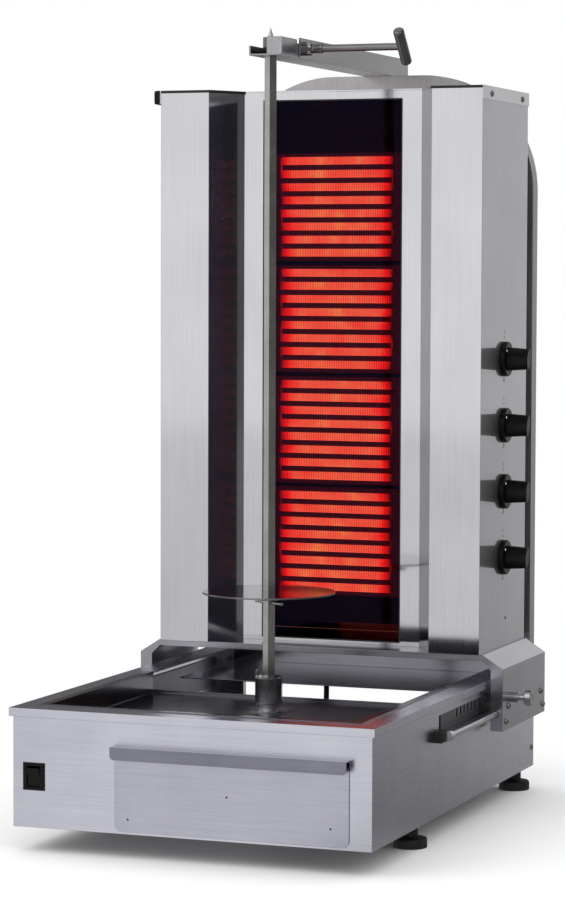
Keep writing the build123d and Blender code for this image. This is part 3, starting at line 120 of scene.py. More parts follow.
def add_node(tree: bpy.types.NodeTree, kind: str, options: dict | None = None, values: dict | None = None,
             links: dict | None = None) -> bpy.types.Node:
    """Add a shader node with its settings and links.

    Args:
        tree: the node tree.
        kind: the node's type name.
        options: the node's own settings.
        values: constants for its sockets, by name or number.
        links: sockets that feed its sockets, by name or number.

    Returns:
        The new node.
    """
    made = tree.nodes.new(kind)
    for name, value in (options or {}).items():
        setattr(made, name, value)
    for name, value in (values or {}).items():
        made.inputs[name].default_value = value
    for name, source in (links or {}).items():
        tree.links.new(source, made.inputs[name])
    return made


def blank_material(name: str) -> tuple[bpy.types.Material, bpy.types.NodeTree]:
    """Make an empty node material.

    Args:
        name: what the material is.

    Returns:
        The material and its cleared tree.
    """
    made = bpy.data.materials.new(name)
    made.use_nodes = True
    made.node_tree.nodes.clear()
    return made, made.node_tree


class Finish:
    """A finish that makes its material once and hands it out again."""

    name: str

    def material(self) -> bpy.types.Material:
        """The finish's material, made on first use."""
        return bpy.data.materials.get(self.name) or self.make()


class SolidFinish(Finish):
    """A finish of an opaque surface, on which patterns move colour, gloss and relief."""

    smooth: float
    rough: float
    edge_round: float
    bump: float
    bump_deep: float

    def graded(self, tree: bpy.types.NodeTree, pattern: bpy.types.NodeSocket, colours: tuple[str, str],
               span: tuple[float, float] = NOISE_SPAN) -> tuple[bpy.types.NodeSocket, bpy.types.NodeSocket]:
        """Let a pattern move colour and gloss together.

        Args:
            tree: the material's tree.
            pattern: the pattern's socket.
            colours: the colours at its low and high end.
            span: where on the pattern the colour starts and ends its change.

        Returns:
            The sockets of the colour and the roughness.
        """
        tone = add_node(tree, "ShaderNodeValToRGB", links={"Fac": pattern})
        for stop, at, colour in zip(tone.color_ramp.elements, span, colours):
            stop.position = at
            stop.color = linear(colour)
        gloss = add_node(tree, "ShaderNodeMapRange",
                         values={"From Min": NOISE_SPAN[0], "From Max": NOISE_SPAN[1],
                                 "To Min": self.smooth, "To Max": self.rough},
                         links={"Value": pattern}).outputs["Result"]
        return tone.outputs["Color"], gloss

    def raised(self, tree: bpy.types.NodeTree,
               height: bpy.types.NodeSocket) -> tuple[bpy.types.NodeSocket, bpy.types.NodeSocket]:
        """Round the edges and raise a fine pattern on the faces.

        Args:
            tree: the material's tree.
            height: the pattern's socket.

        Returns:
            The sockets of the rounded normal, without and with the pattern.
        """
        rounded = add_node(tree, "ShaderNodeBevel", {"samples": 4},
                           {"Radius": self.edge_round}).outputs["Normal"]
        relief = add_node(tree, "ShaderNodeBump", values={"Strength": self.bump, "Distance": self.bump_deep},
                          links={"Height": height, "Normal": rounded}).outputs["Normal"]
        return rounded, relief


@dataclass(frozen=True)
class FaceTouch:
    """What sets one face of a sheet apart from its other faces."""

    toward: tuple[float, float, float]
    # How far the sheet's bow leans the face's mirror, and the share of its shine that scratches scatter.
    bow: tuple[float, float, float] = (0.0, 0.0, 0.0)
    haze: float = 0.0
    haze_rough: float = 0.5
    # How nearly a normal has to agree with the face's own, as cosines from none of it to all of it.
    span: tuple[float, float] = (0.95, 0.98)


@dataclass(frozen=True)
class BrushedStainless(SolidFinish):
    """Brushed stainless sheet: pale grey, streaked one way, with soft cloudy patches from handling and
    painted shade along its folds.
    """

    name: str
    grain: Grain
    light: str = "#d8d7db"
    dark: str = "#c8c7cc"
    smooth: float = 0.05
    rough: float = 0.11
    # How much farther reflections smear across the grain than along it, and the turn for level grain.
    smear: float = 0.4
    smear_turn: float = 0.0
    # Real grit lines are 0.1 to 0.3 mm apart, too fine to show at this size, so they are drawn 1.3 mm apart.
    streak: float = 1.3 * MM
    cloud: float = 90 * MM
    cloud_share: float = 0.45
    edge_round: float = 0.8 * MM
    # Painted shade at a fold: the dark colour laid along folds and edges, and how far the rounded normal
    # leans there, as cosines from fold to flat.
    fold: str = "#6f6d72"
    fold_shade_span: tuple[float, float] = (0.8, 0.97)
    bump: float = 0.05
    bump_deep: float = 0.2 * MM
    touch: FaceTouch | None = None

    def make(self) -> bpy.types.Material:
        """Build the material: streaks and clouds drive tone and gloss, streaks a faint relief, and painted
        shade darkens the folds.
        """
        made, tree = blank_material(self.name)
        place = add_node(tree, "ShaderNodeTexCoord").outputs["Object"]
        scale = [share / self.streak for share in self.grain.value]
        stretched = add_node(tree, "ShaderNodeMapping", values={"Scale": scale}, links={"Vector": place})
        streaks = add_node(tree, "ShaderNodeTexNoise",
                           values={"Scale": 1.0, "Detail": 3.0, "Roughness": 0.65},
                           links={"Vector": stretched.outputs["Vector"]}).outputs["Fac"]
        clouds = add_node(tree, "ShaderNodeTexNoise", values={"Scale": 1 / self.cloud, "Detail": 3.0},
                          links={"Vector": place}).outputs["Fac"]
        both = add_node(tree, "ShaderNodeMix", {"data_type": "FLOAT"}, {0: self.cloud_share},
                        {2: streaks, 3: clouds}).outputs[0]
        tone, gloss = self.graded(tree, both, (self.dark, self.light))
        rounded, relief = self.raised(tree, streaks)
        straight = add_node(tree, "ShaderNodeNewGeometry").outputs["Normal"]
        lean = add_node(tree, "ShaderNodeVectorMath", {"operation": "DOT_PRODUCT"},
                        links={0: rounded, 1: straight}).outputs["Value"]
        flat = add_node(tree, "ShaderNodeMapRange",
                        values={"From Min": self.fold_shade_span[0], "From Max": self.fold_shade_span[1]},
                        links={"Value": lean}).outputs["Result"]
        # Painted shade: where the rounded normal leans off the true one at a fold, the colour turns to the
        # dark fold colour.
        folded = add_node(tree, "ShaderNodeMix", {"data_type": "RGBA"}, {6: linear(self.fold)},
                          {0: flat, 7: tone}).outputs[2]
        mask = self.mask(tree, straight) if self.touch else None
        if mask:
            leant = add_node(tree, "ShaderNodeVectorMath", {"operation": "MULTIPLY_ADD"},
                             {1: self.touch.bow}, {0: mask, 2: relief}).outputs["Vector"]
            relief = add_node(tree, "ShaderNodeVectorMath", {"operation": "NORMALIZE"},
                              links={0: leant}).outputs["Vector"]
        shader = add_node(tree, "ShaderNodeBsdfPrincipled",
                          values={"Metallic": 1.0, "Anisotropic": self.smear,
                                  "Anisotropic Rotation": self.smear_turn},
                          links={"Base Color": folded, "Roughness": gloss, "Normal": relief}).outputs["BSDF"]
        if mask:
            share = add_node(tree, "ShaderNodeMath", {"operation": "MULTIPLY"}, {1: self.touch.haze},
                             {0: mask}).outputs[0]
            dull = add_node(tree, "ShaderNodeBsdfPrincipled",
                            values={"Metallic": 1.0, "Roughness": self.touch.haze_rough},
                            links={"Base Color": folded, "Normal": relief}).outputs["BSDF"]
            shader = add_node(tree, "ShaderNodeMixShader",
                              links={0: share, 1: shader, 2: dull}).outputs["Shader"]
        add_node(tree, "ShaderNodeOutputMaterial", links={"Surface": shader})
        return made

    def mask(self, tree: bpy.types.NodeTree, normal: bpy.types.NodeSocket) -> bpy.types.NodeSocket:
        """Find the face that is set apart.

        Args:
            tree: the material's tree.
            normal: the socket of the sheet's own normal.

        Returns:
            The socket that is one on that face.
        """
        near = add_node(tree, "ShaderNodeVectorMath", {"operation": "DOT_PRODUCT"}, {1: self.touch.toward},
                        {0: normal}).outputs["Value"]
        return add_node(tree, "ShaderNodeMapRange",
                        values={"From Min": self.touch.span[0], "From Max": self.touch.span[1]},
                        links={"Value": near}).outputs["Result"]


@dataclass(frozen=True)
class TurnedSteel(SolidFinish):
    """Turned or drawn steel: even grey with a close gloss, hairline scratches and a little handling haze."""

    name: str
    light: str = "#c9c8ca"
    dark: str = "#a9a8ab"
    smooth: float = 0.10
    rough: float = 0.24
    # Tool marks of 0.2 mm are drawn 0.9 mm wide so that they show.
    mark: float = 0.9 * MM
    haze: float = 35 * MM
    haze_share: float = 0.6
    edge_round: float = 0.5 * MM
    bump: float = 0.04
    bump_deep: float = 0.1 * MM

    def make(self) -> bpy.types.Material:
        """Build the material from fine marks over a broad haze."""
        made, tree = blank_material(self.name)
        place = add_node(tree, "ShaderNodeTexCoord").outputs["Object"]
        marks = add_node(tree, "ShaderNodeTexNoise", values={"Scale": 1 / self.mark, "Detail": 2.0},
                         links={"Vector": place}).outputs["Fac"]
        haze = add_node(tree, "ShaderNodeTexNoise", values={"Scale": 1 / self.haze, "Detail": 4.0},
                        links={"Vector": place}).outputs["Fac"]
        both = add_node(tree, "ShaderNodeMix", {"data_type": "FLOAT"}, {0: self.haze_share},
                        {2: marks, 3: haze}).outputs[0]
        tone, gloss = self.graded(tree, both, (self.dark, self.light))
        relief = self.raised(tree, marks)[1]
        shader = add_node(tree, "ShaderNodeBsdfPrincipled", values={"Metallic": 1.0},
                          links={"Base Color": tone, "Roughness": gloss, "Normal": relief})
        add_node(tree, "ShaderNodeOutputMaterial", links={"Surface": shader.outputs["BSDF"]})
        return made


@dataclass(frozen=True)
class Moulded(SolidFinish):
    """Moulded plastic, rubber, paint or fibre: one body colour, eroded grain and worn, paler patches."""

    name: str
    body: str
    worn: str
    worn_span: tuple[float, float] = (0.35, 0.75)
    smooth: float = 0.34
    rough: float = 0.5
    grain: float = 0.8 * MM
    patch: float = 14 * MM
    edge_round: float = 0.5 * MM
    bump: float = 0.12
    bump_deep: float = 0.1 * MM
    ior: float = 1.5
    shine: float = 0.5
    # A painted glow that the piece gives off, standing in for red heater light falling on it; black for none.
    glow: str = "#000000"

    def make(self) -> bpy.types.Material:
        """Build the material: grain makes the relief, patches move colour and gloss."""
        made, tree = blank_material(self.name)
        place = add_node(tree, "ShaderNodeTexCoord").outputs["Object"]
        grain = add_node(tree, "ShaderNodeTexNoise", values={"Scale": 1 / self.grain, "Detail": 2.0},
                         links={"Vector": place}).outputs["Fac"]
        patch = add_node(tree, "ShaderNodeTexNoise", values={"Scale": 1 / self.patch, "Detail": 5.0},
                         links={"Vector": place}).outputs["Fac"]
        tone, gloss = self.graded(tree, patch, (self.body, self.worn), self.worn_span)
        relief = self.raised(tree, grain)[1]
        shader = add_node(tree, "ShaderNodeBsdfPrincipled",
                          values={"IOR": self.ior, "Specular IOR Level": self.shine,
                                  "Emission Color": linear(self.glow), "Emission Strength": 1.0},
                          links={"Base Color": tone, "Roughness": gloss, "Normal": relief})
        add_node(tree, "ShaderNodeOutputMaterial", links={"Surface": shader.outputs["BSDF"]})
        return made


@dataclass(frozen=True)
class CeramicGlass(Finish):
    """Black glass ceramic: a black polish whose reflection is painted blue, that lets only red through, with
    faint wiping marks.
    """

    name: str
    tint: str = "#be9186"
    # A slanting view runs through more of the dark body: its tint there, and where the change runs.
    deep: str = "#30231f"
    slant: tuple[float, float] = (0.4, 0.75)
    # Painted reflection: the polish's mirror is tinted blue to stand in for the blue that the surroundings
    # cast in it.
    painted_reflection_tint: str = "#a09cf0"
    clean: float = 0.03
    wiped: float = 0.09
    wipe: float = 60 * MM
    wipe_span: tuple[float, float] = (0.35, 0.7)
    ior: float = 1.53
    # The black side takes most of the bounce, so the polish keeps only this share of a clear pane's mirror.
    mirror: float = 0.2

    def make(self) -> bpy.types.Material:
        """Build the material: a tinted clear body under a wiped polish."""
        made, tree = blank_material(self.name)
        place = add_node(tree, "ShaderNodeTexCoord").outputs["Object"]
        wipes = add_node(tree, "ShaderNodeTexNoise", values={"Scale": 1 / self.wipe, "Detail": 6.0},
                         links={"Vector": place}).outputs["Fac"]
        gloss = add_node(tree, "ShaderNodeMapRange",
                         values={"From Min": self.wipe_span[0], "From Max": self.wipe_span[1],
                                 "To Min": self.clean, "To Max": self.wiped},
                         links={"Value": wipes}).outputs["Result"]
        bounce = add_node(tree, "ShaderNodeFresnel", values={"IOR": self.ior}).outputs["Fac"]
        share = add_node(tree, "ShaderNodeMath", {"operation": "MULTIPLY"}, {1: self.mirror},
                         {0: bounce}).outputs[0]
        slant = add_node(tree, "ShaderNodeLayerWeight", values={"Blend": 0.5}).outputs["Facing"]
        far = add_node(tree, "ShaderNodeMapRange",
                       values={"From Min": self.slant[0], "From Max": self.slant[1]},
                       links={"Value": slant}).outputs["Result"]
        tone = add_node(tree, "ShaderNodeMix", {"data_type": "RGBA"},
                        {6: linear(self.tint), 7: linear(self.deep)}, {0: far}).outputs[2]
        clear = add_node(tree, "ShaderNodeBsdfTransparent", links={"Color": tone}).outputs["BSDF"]
        polish = add_node(tree, "ShaderNodeBsdfAnisotropic", values={"Color": linear(self.painted_reflection_tint)},
                          links={"Roughness": gloss}).outputs["BSDF"]
        shader = add_node(tree, "ShaderNodeMixShader", links={0: share, 1: clear, 2: polish})
        add_node(tree, "ShaderNodeOutputMaterial", links={"Surface": shader.outputs["Shader"]})
        return made


@dataclass(frozen=True)
class GlowingRibbon(Finish):
    """Resistance ribbon at red heat: orange where hottest, dull red at its ends, uneven along the bars."""

    name: str
    # Heat from the middle of a bar to its end: the place on the scale and the colour there.
    heats: tuple[tuple[float, str], ...] = (
        (0.13, "#f2cf8c"), (0.23, "#f49c84"), (0.5, "#f0343c"), (1.0, "#26070c"))
    power: float = 4.4
    # How suddenly the heat falls at the ends, and how far it wanders on the scale.
    fall: float = 7.0
    wander: float = 0.5
    middle: float = 0.0
    half: float = 1.0
    patch: float = 26 * MM
    cold: str = "#3a1c14"
    rough: float = 0.7

    def make(self) -> bpy.types.Material:
        """Build the material: heat falls toward the ends and wanders along the bars."""
        made, tree = blank_material(self.name)
        place = add_node(tree, "ShaderNodeTexCoord").outputs["Object"]
        centred = add_node(tree, "ShaderNodeMapping",
                           values={"Location": (-self.middle / self.half, 0, 0),
                                   "Scale": (1 / self.half, 1, 1)},
                           links={"Vector": place}).outputs["Vector"]
        across = add_node(tree, "ShaderNodeSeparateXYZ", links={"Vector": centred}).outputs["X"]
        away = add_node(tree, "ShaderNodeMath", {"operation": "ABSOLUTE"}, links={0: across}).outputs[0]
        drift = add_node(tree, "ShaderNodeTexNoise", values={"Scale": 1 / self.patch, "Detail": 2.0},
                         links={"Vector": place}).outputs["Fac"]
        ends = add_node(tree, "ShaderNodeMath", {"operation": "POWER"}, {1: self.fall}, {0: away}).outputs[0]
        heat = add_node(tree, "ShaderNodeMath", {"operation": "MULTIPLY_ADD"}, {1: self.wander},
                        {0: drift, 2: ends})
        tone = add_node(tree, "ShaderNodeValToRGB", links={"Fac": heat.outputs[0]})
        stops = tone.color_ramp.elements
        stops.remove(stops[-1])
        for number, (at, colour) in enumerate(self.heats):
            stop = stops[0] if number == 0 else stops.new(at)
            stop.position = at
            stop.color = linear(colour)
        shader = add_node(tree, "ShaderNodeBsdfPrincipled",
                          values={"Base Color": linear(self.cold), "Roughness": self.rough,
                                  "Emission Strength": self.power},
                          links={"Emission Color": tone.outputs["Color"]})
        add_node(tree, "ShaderNodeOutputMaterial", links={"Surface": shader.outputs["BSDF"]})
        return made


# A quarter of a turn lays the smear across level grain.
LEVEL_TURN = 0.25
STEEL_UPRIGHT = BrushedStainless("brushed_stainless_upright", Grain.UPRIGHT)
STEEL_LEFT = BrushedStainless("brushed_stainless_left_panel", Grain.UPRIGHT,
                              touch=FaceTouch((0.868, -0.497, 0.0), bow=(0.034, 0.064, 0.0), haze=0.14))
STEEL_RIGHT = BrushedStainless("brushed_stainless_right_panel", Grain.UPRIGHT,
                               touch=FaceTouch((1.0, 0.0, 0.0), haze=0.42))
STEEL_LEVEL = BrushedStainless("brushed_stainless_level", Grain.LEVEL, light="#dcdce6", dark="#c8c8d4",
                               smooth=0.24, rough=0.32, smear_turn=LEVEL_TURN, bump=0.02)
STEEL_DRAWER = BrushedStainless("brushed_stainless_drawer", Grain.LEVEL, light="#c8c8d4", dark="#b4b4c0",
                                smooth=0.24, rough=0.32, smear_turn=LEVEL_TURN, bump=0.02)
STEEL_SADDLE = BrushedStainless("brushed_stainless_saddle", Grain.LEVEL, light="#b3b1b7", dark="#9d9ba2",
                                smooth=0.18, rough=0.26, smear_turn=LEVEL_TURN, bump=0.02)
# Painted shade: the handle is the drawer's steel drawn darker, standing in for the shade and darker
# reflection on its lip.
STEEL_HANDLE_SHADED = BrushedStainless("brushed_stainless_handle_painted_shade", Grain.CROSSWISE, light="#93939f", dark="#80808d",
                                smear_turn=LEVEL_TURN)
STEEL_LONG = BrushedStainless("brushed_stainless_lengthwise", Grain.LENGTHWISE, light="#a3a1a3",
                              dark="#8b898c", smear_turn=LEVEL_TURN)
STEEL_LID = BrushedStainless("brushed_stainless_crosswise", Grain.CROSSWISE, smear_turn=LEVEL_TURN)
STEEL_TUBE = BrushedStainless("ground_stainless_tube", Grain.UPRIGHT, light="#b3b0b2", dark="#989598",
                              smooth=0.26, rough=0.38)
STEEL_PAN = BrushedStainless("pressed_stainless_pan", Grain.CROSSWISE, light="#7a7980", dark="#5c5b63",
                             smooth=0.16, rough=0.24, smear=0.0, bump=0.02, edge_round=2.0 * MM)
STEEL_GUARD = BrushedStainless("polished_stainless_guard", Grain.CROSSWISE, light="#a3a2aa", dark="#88878f",
                               smooth=0.1, rough=0.16, smear=0.0, bump=0.02)
# Mill-finish steel for the parts inside the base, drawn darker as painted shade for the shade that falls
# inside the base.
STEEL_BARE_SHADED = BrushedStainless("mill_stainless_painted_shade", Grain.LEVEL, light="#737276", dark="#5c5b60",
                              smooth=0.3, rough=0.42, smear_turn=LEVEL_TURN)
STEEL_TURNED = TurnedSteel("turned_steel")
STEEL_DRAWN = TurnedSteel("drawn_steel", light="#d2cfcd", dark="#aaa7a6", smooth=0.16, rough=0.32)
STEEL_DISC = TurnedSteel("polished_steel_disc", light="#8f8b90", dark="#767278", smooth=0.06, rough=0.12)
STEEL_BLOCK = TurnedSteel("machined_steel_block", light="#b4b3b7", dark="#97969b", smooth=0.2, rough=0.32)
STEEL_WORN = TurnedSteel("worn_clamp_steel", light="#8d8a8b", dark="#6d6a6c", smooth=0.22, rough=0.36)
ZINC = TurnedSteel("zinc_plated_steel", light="#bdbcb8", dark="#96958f", smooth=0.2, rough=0.4)
CAST = TurnedSteel("cast_aluminium", light="#a6a7aa", dark="#7f8083", smooth=0.4, rough=0.55, mark=1.6 * MM)
BRONZE = TurnedSteel("sintered_bronze", light="#b98d55", dark="#8f6536", smooth=0.3, rough=0.45)
BLACK_PLASTIC = Moulded("moulded_black_plastic", "#060607", "#0c0c0e", smooth=0.26, rough=0.4, shine=0.18)
# Painted shade: the heater carrier behind the glass is drawn black to stand for the shade there; the same
# black marks the spot welds.
BLACK_SHADE_AND_WELDS = Moulded("painted_shade_black_and_weld_marks", "#0d0d0f", "#161618", smooth=0.55, rough=0.7)
BLACK_RUBBER = Moulded("moulded_black_rubber", "#101012", "#1c1c1e", smooth=0.5, rough=0.7)
BLACK_SHEATH = Moulded("black_cable_sheath", "#151517", "#222224", smooth=0.42, rough=0.55, grain=1.2 * MM)
GREY_PAINT = Moulded("grey_enamelled_motor", "#3b3d40", "#4a4c50", smooth=0.4, rough=0.5)
WHITE_DOT = Moulded("white_knob_dot", "#e6e6e4", "#f2f2f0", smooth=0.4, rough=0.5, bump=0.02)
GREY_PRINT = Moulded("grey_etched_mark", "#5b5b60", "#74747a", smooth=0.4, rough=0.5, bump=0.02)
# Painted light: the insulation gives off a dim purple-red glow that stands in for the ribbons' light falling
# on it.
FIBRE_BOARD = Moulded("ceramic_fibre_board_painted_glow", "#3d3833", "#4a443d", smooth=0.8, rough=0.95, grain=1.5 * MM,
                      patch=9 * MM, bump=0.6, glow="#4a1738")
BLACK_GLASS = CeramicGlass("black_ceramic_glass")

PLAIN_DRESS = {
    STEEL_LEVEL: ("base_housing",),
    STEEL_DRAWER: ("drawer_front",),
    STEEL_SADDLE: ("saddle",),
    STEEL_HANDLE_SHADED: ("drawer_handle",),
    STEEL_UPRIGHT: ("glass_frame", "tower_back"),
    STEEL_LEFT: ("left_panel",),
    STEEL_RIGHT: ("right_panel",),
    STEEL_LID: ("tower_lid",),
    STEEL_LONG: ("top_arm",),
    STEEL_TUBE: ("mast_hoop",),
    STEEL_PAN: ("grease_pan", "drawer_tray"),
    STEEL_GUARD: ("lower_apron",),
    STEEL_BARE_SHADED: ("base_floor", "drawer_runners", "index_rails", "motor_brackets"),
    # Painted shade: the carrier is black only to stand for the shade behind the glass.
    BLACK_SHADE_AND_WELDS: ("heater_carrier",),
    STEEL_TURNED: ("guide_rods", "rod_collars", "plunger_sleeve", "drive_socket", "output_shaft",
                   "disc_pin", "output_gear", "motor_pinion", "pan_seal"),
    STEEL_DRAWN: ("skewer",),
    STEEL_WORN: ("clamp_grip",),
    STEEL_DISC: ("spit_disc",),
    STEEL_BLOCK: ("bearing_block",),
    ZINC: ("mast_bolts",),
    CAST: ("gearbox_case", "gearbox_cover"),
    BRONZE: ("shaft_bushes",),
    BLACK_PLASTIC: ("corner_cap", "knob_1", "knob_2", "knob_3", "knob_4", "rocker", "rocker_bezel",
                    "cable_gland", "regulators", "rod_glides"),
    BLACK_RUBBER: ("rod_blocks",),
    GREY_PAINT: ("motor_can",),
    FIBRE_BOARD: ("heater_insulation",),
    BLACK_GLASS: ("ceramic_glass",),
}


def dress(node: str, finish: Finish) -> None:
    """Give a carried-over solid its finish."""
    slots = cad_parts[node].data.materials
    slots.clear()
    slots.append(finish.material())


def islands(node: str) -> list[tuple[Vector, Vector]]:
    """Find the separate solids of a node.

    Args:
        node: the node's name.

    Returns:
        The lowest and highest corner of each solid.
    """
    shape = bmesh.new()
    shape.from_mesh(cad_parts[node].data)
    bmesh.ops.remove_doubles(shape, verts=shape.verts, dist=NEAR)
    left = set(shape.verts)
    found = []
    while left:
        group, edge = set(), [left.pop()]
        while edge:
            here = edge.pop()
            group.add(here)
            near = {link.other_vert(here) for link in here.link_edges} & left
            left -= near
            edge.extend(near)
        low = Vector([min(v.co[axis] for v in group) for axis in range(3)])
        high = Vector([max(v.co[axis] for v in group) for axis in range(3)])
        found.append((low, high))
    shape.free()
    return sorted(found, key=lambda corners: tuple(round(c, 5) for c in corners[0]))


def lathe(shape: bmesh.types.BMesh, outline: Sequence[tuple[float, float]], centre: Vector, axis: Vector,
          steps: int) -> list[bmesh.types.BMVert]:
    """Spin an outline into a turned shape.

    Args:
        shape: the mesh that takes it.
        outline: places along the axis and the radius at each.
        centre: the outline's zero on the axis.
        axis: the direction of the axis.
        steps: faces round the axis.

    Returns:
        The vertices of the turned shape.
    """
    before = set(shape.verts)
    side = axis.orthogonal().normalized()
    points = [shape.verts.new(centre + axis * along + side * radius) for along, radius in outline]
    runs = [shape.edges.new(two) for two in zip(points, points[1:])]
    bmesh.ops.spin(shape, geom=points + runs, cent=centre, axis=axis, angle=FULL_TURN, steps=steps,
                   use_merge=True, use_duplicate=False)
    made = [vert for vert in shape.verts if vert not in before]
    bmesh.ops.remove_doubles(shape, verts=made, dist=MERGE)
    made = [vert for vert in shape.verts if vert not in before]
    faces = list({face for vert in made for face in vert.link_faces})
    bmesh.ops.recalc_face_normals(shape, faces=faces)
    return made


def reshape(verts: Iterable[bmesh.types.BMVert], centre: Vector, axis: Vector, steps: int,
            factor: Callable[[float, float, int], float]) -> None:
    """Scale turned vertices about their axis.

    Args:
        verts: the vertices.
        centre: the axis's zero.
        axis: its direction.
        steps: how many faces stand round it.
        factor: gives the scale from the place along the axis, the radius and the step round it.
    """
    side = axis.orthogonal().normalized()
    other = axis.cross(side)
    for vert in verts:
        away = vert.co - centre
        along = away.dot(axis)
        across = away - axis * along
        step = round(math.atan2(across.dot(other), across.dot(side)) / FULL_TURN * steps) % steps
        vert.co = centre + axis * along + across * factor(along, across.length, step)


def link_object(name: str, data: bpy.types.ID) -> bpy.types.Object:
    """Make an object and link it into the scene.

    Args:
        name: its name.
        data: its mesh, curve, lamp or camera.

    Returns:
        The new object.
    """
    made = bpy.data.objects.new(name, data)
    bpy.context.scene.collection.objects.link(made)
    return made


def raise_flat(shape: bmesh.types.BMesh, faces: list[bmesh.types.BMFace],
               rise: tuple[float, float, float]) -> None:
    """Give flat faces a thickness.

    Args:
        shape: their mesh.
        faces: the flat faces.
        rise: how far their upper side moves.
    """
    before = set(shape.faces) - set(faces)
    grown = bmesh.ops.extrude_face_region(shape, geom=faces)["geom"]
    upper = [item for item in grown if isinstance(item, bmesh.types.BMVert)]
    bmesh.ops.translate(shape, verts=upper, vec=rise)
    bmesh.ops.recalc_face_normals(shape, faces=[face for face in shape.faces if face not in before])


def keep_piece(shape: bmesh.types.BMesh, name: str, finish: Finish, body: str,
               replaces: Sequence[str] = (), smooth_deg: float = 35.0) -> bpy.types.Object:
    """Turn a finished mesh into a piece that rides on a body.

    Args:
        shape: the mesh, which is freed.
        name: the piece's name.
        finish: its finish.
        body: the body it moves with.
        replaces: solids that it stands for.
        smooth_deg: edges flatter than this are shaded smooth.

    Returns:
        The new object.
    """
    mesh = bpy.data.meshes.new(name)
    shape.to_mesh(mesh)
    shape.free()
    mesh.materials.append(finish.material())
    mesh.polygons.foreach_set("use_smooth", [True] * len(mesh.polygons))
    mesh.set_sharp_from_angle(angle=math.radians(smooth_deg))
    piece = link_object(name, mesh)
    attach(piece, body)
    if replaces:
        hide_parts(*replaces)
    LOG.info("%s: %d faces on %s", name, len(mesh.polygons), body)
    return piece


@dataclass
class SheetWork:
    """Carried-over solids that keep their shape and only take a finish."""

    finishes: dict = field(default_factory=lambda: dict(PLAIN_DRESS))

    def dress_all(self) -> None:
        """Give every carried-over solid its finish."""
        for finish, nodes in self.finishes.items():
            for node in nodes:
                dress(node, finish)
            LOG.info("%s on %s", finish.name, ", ".join(nodes))


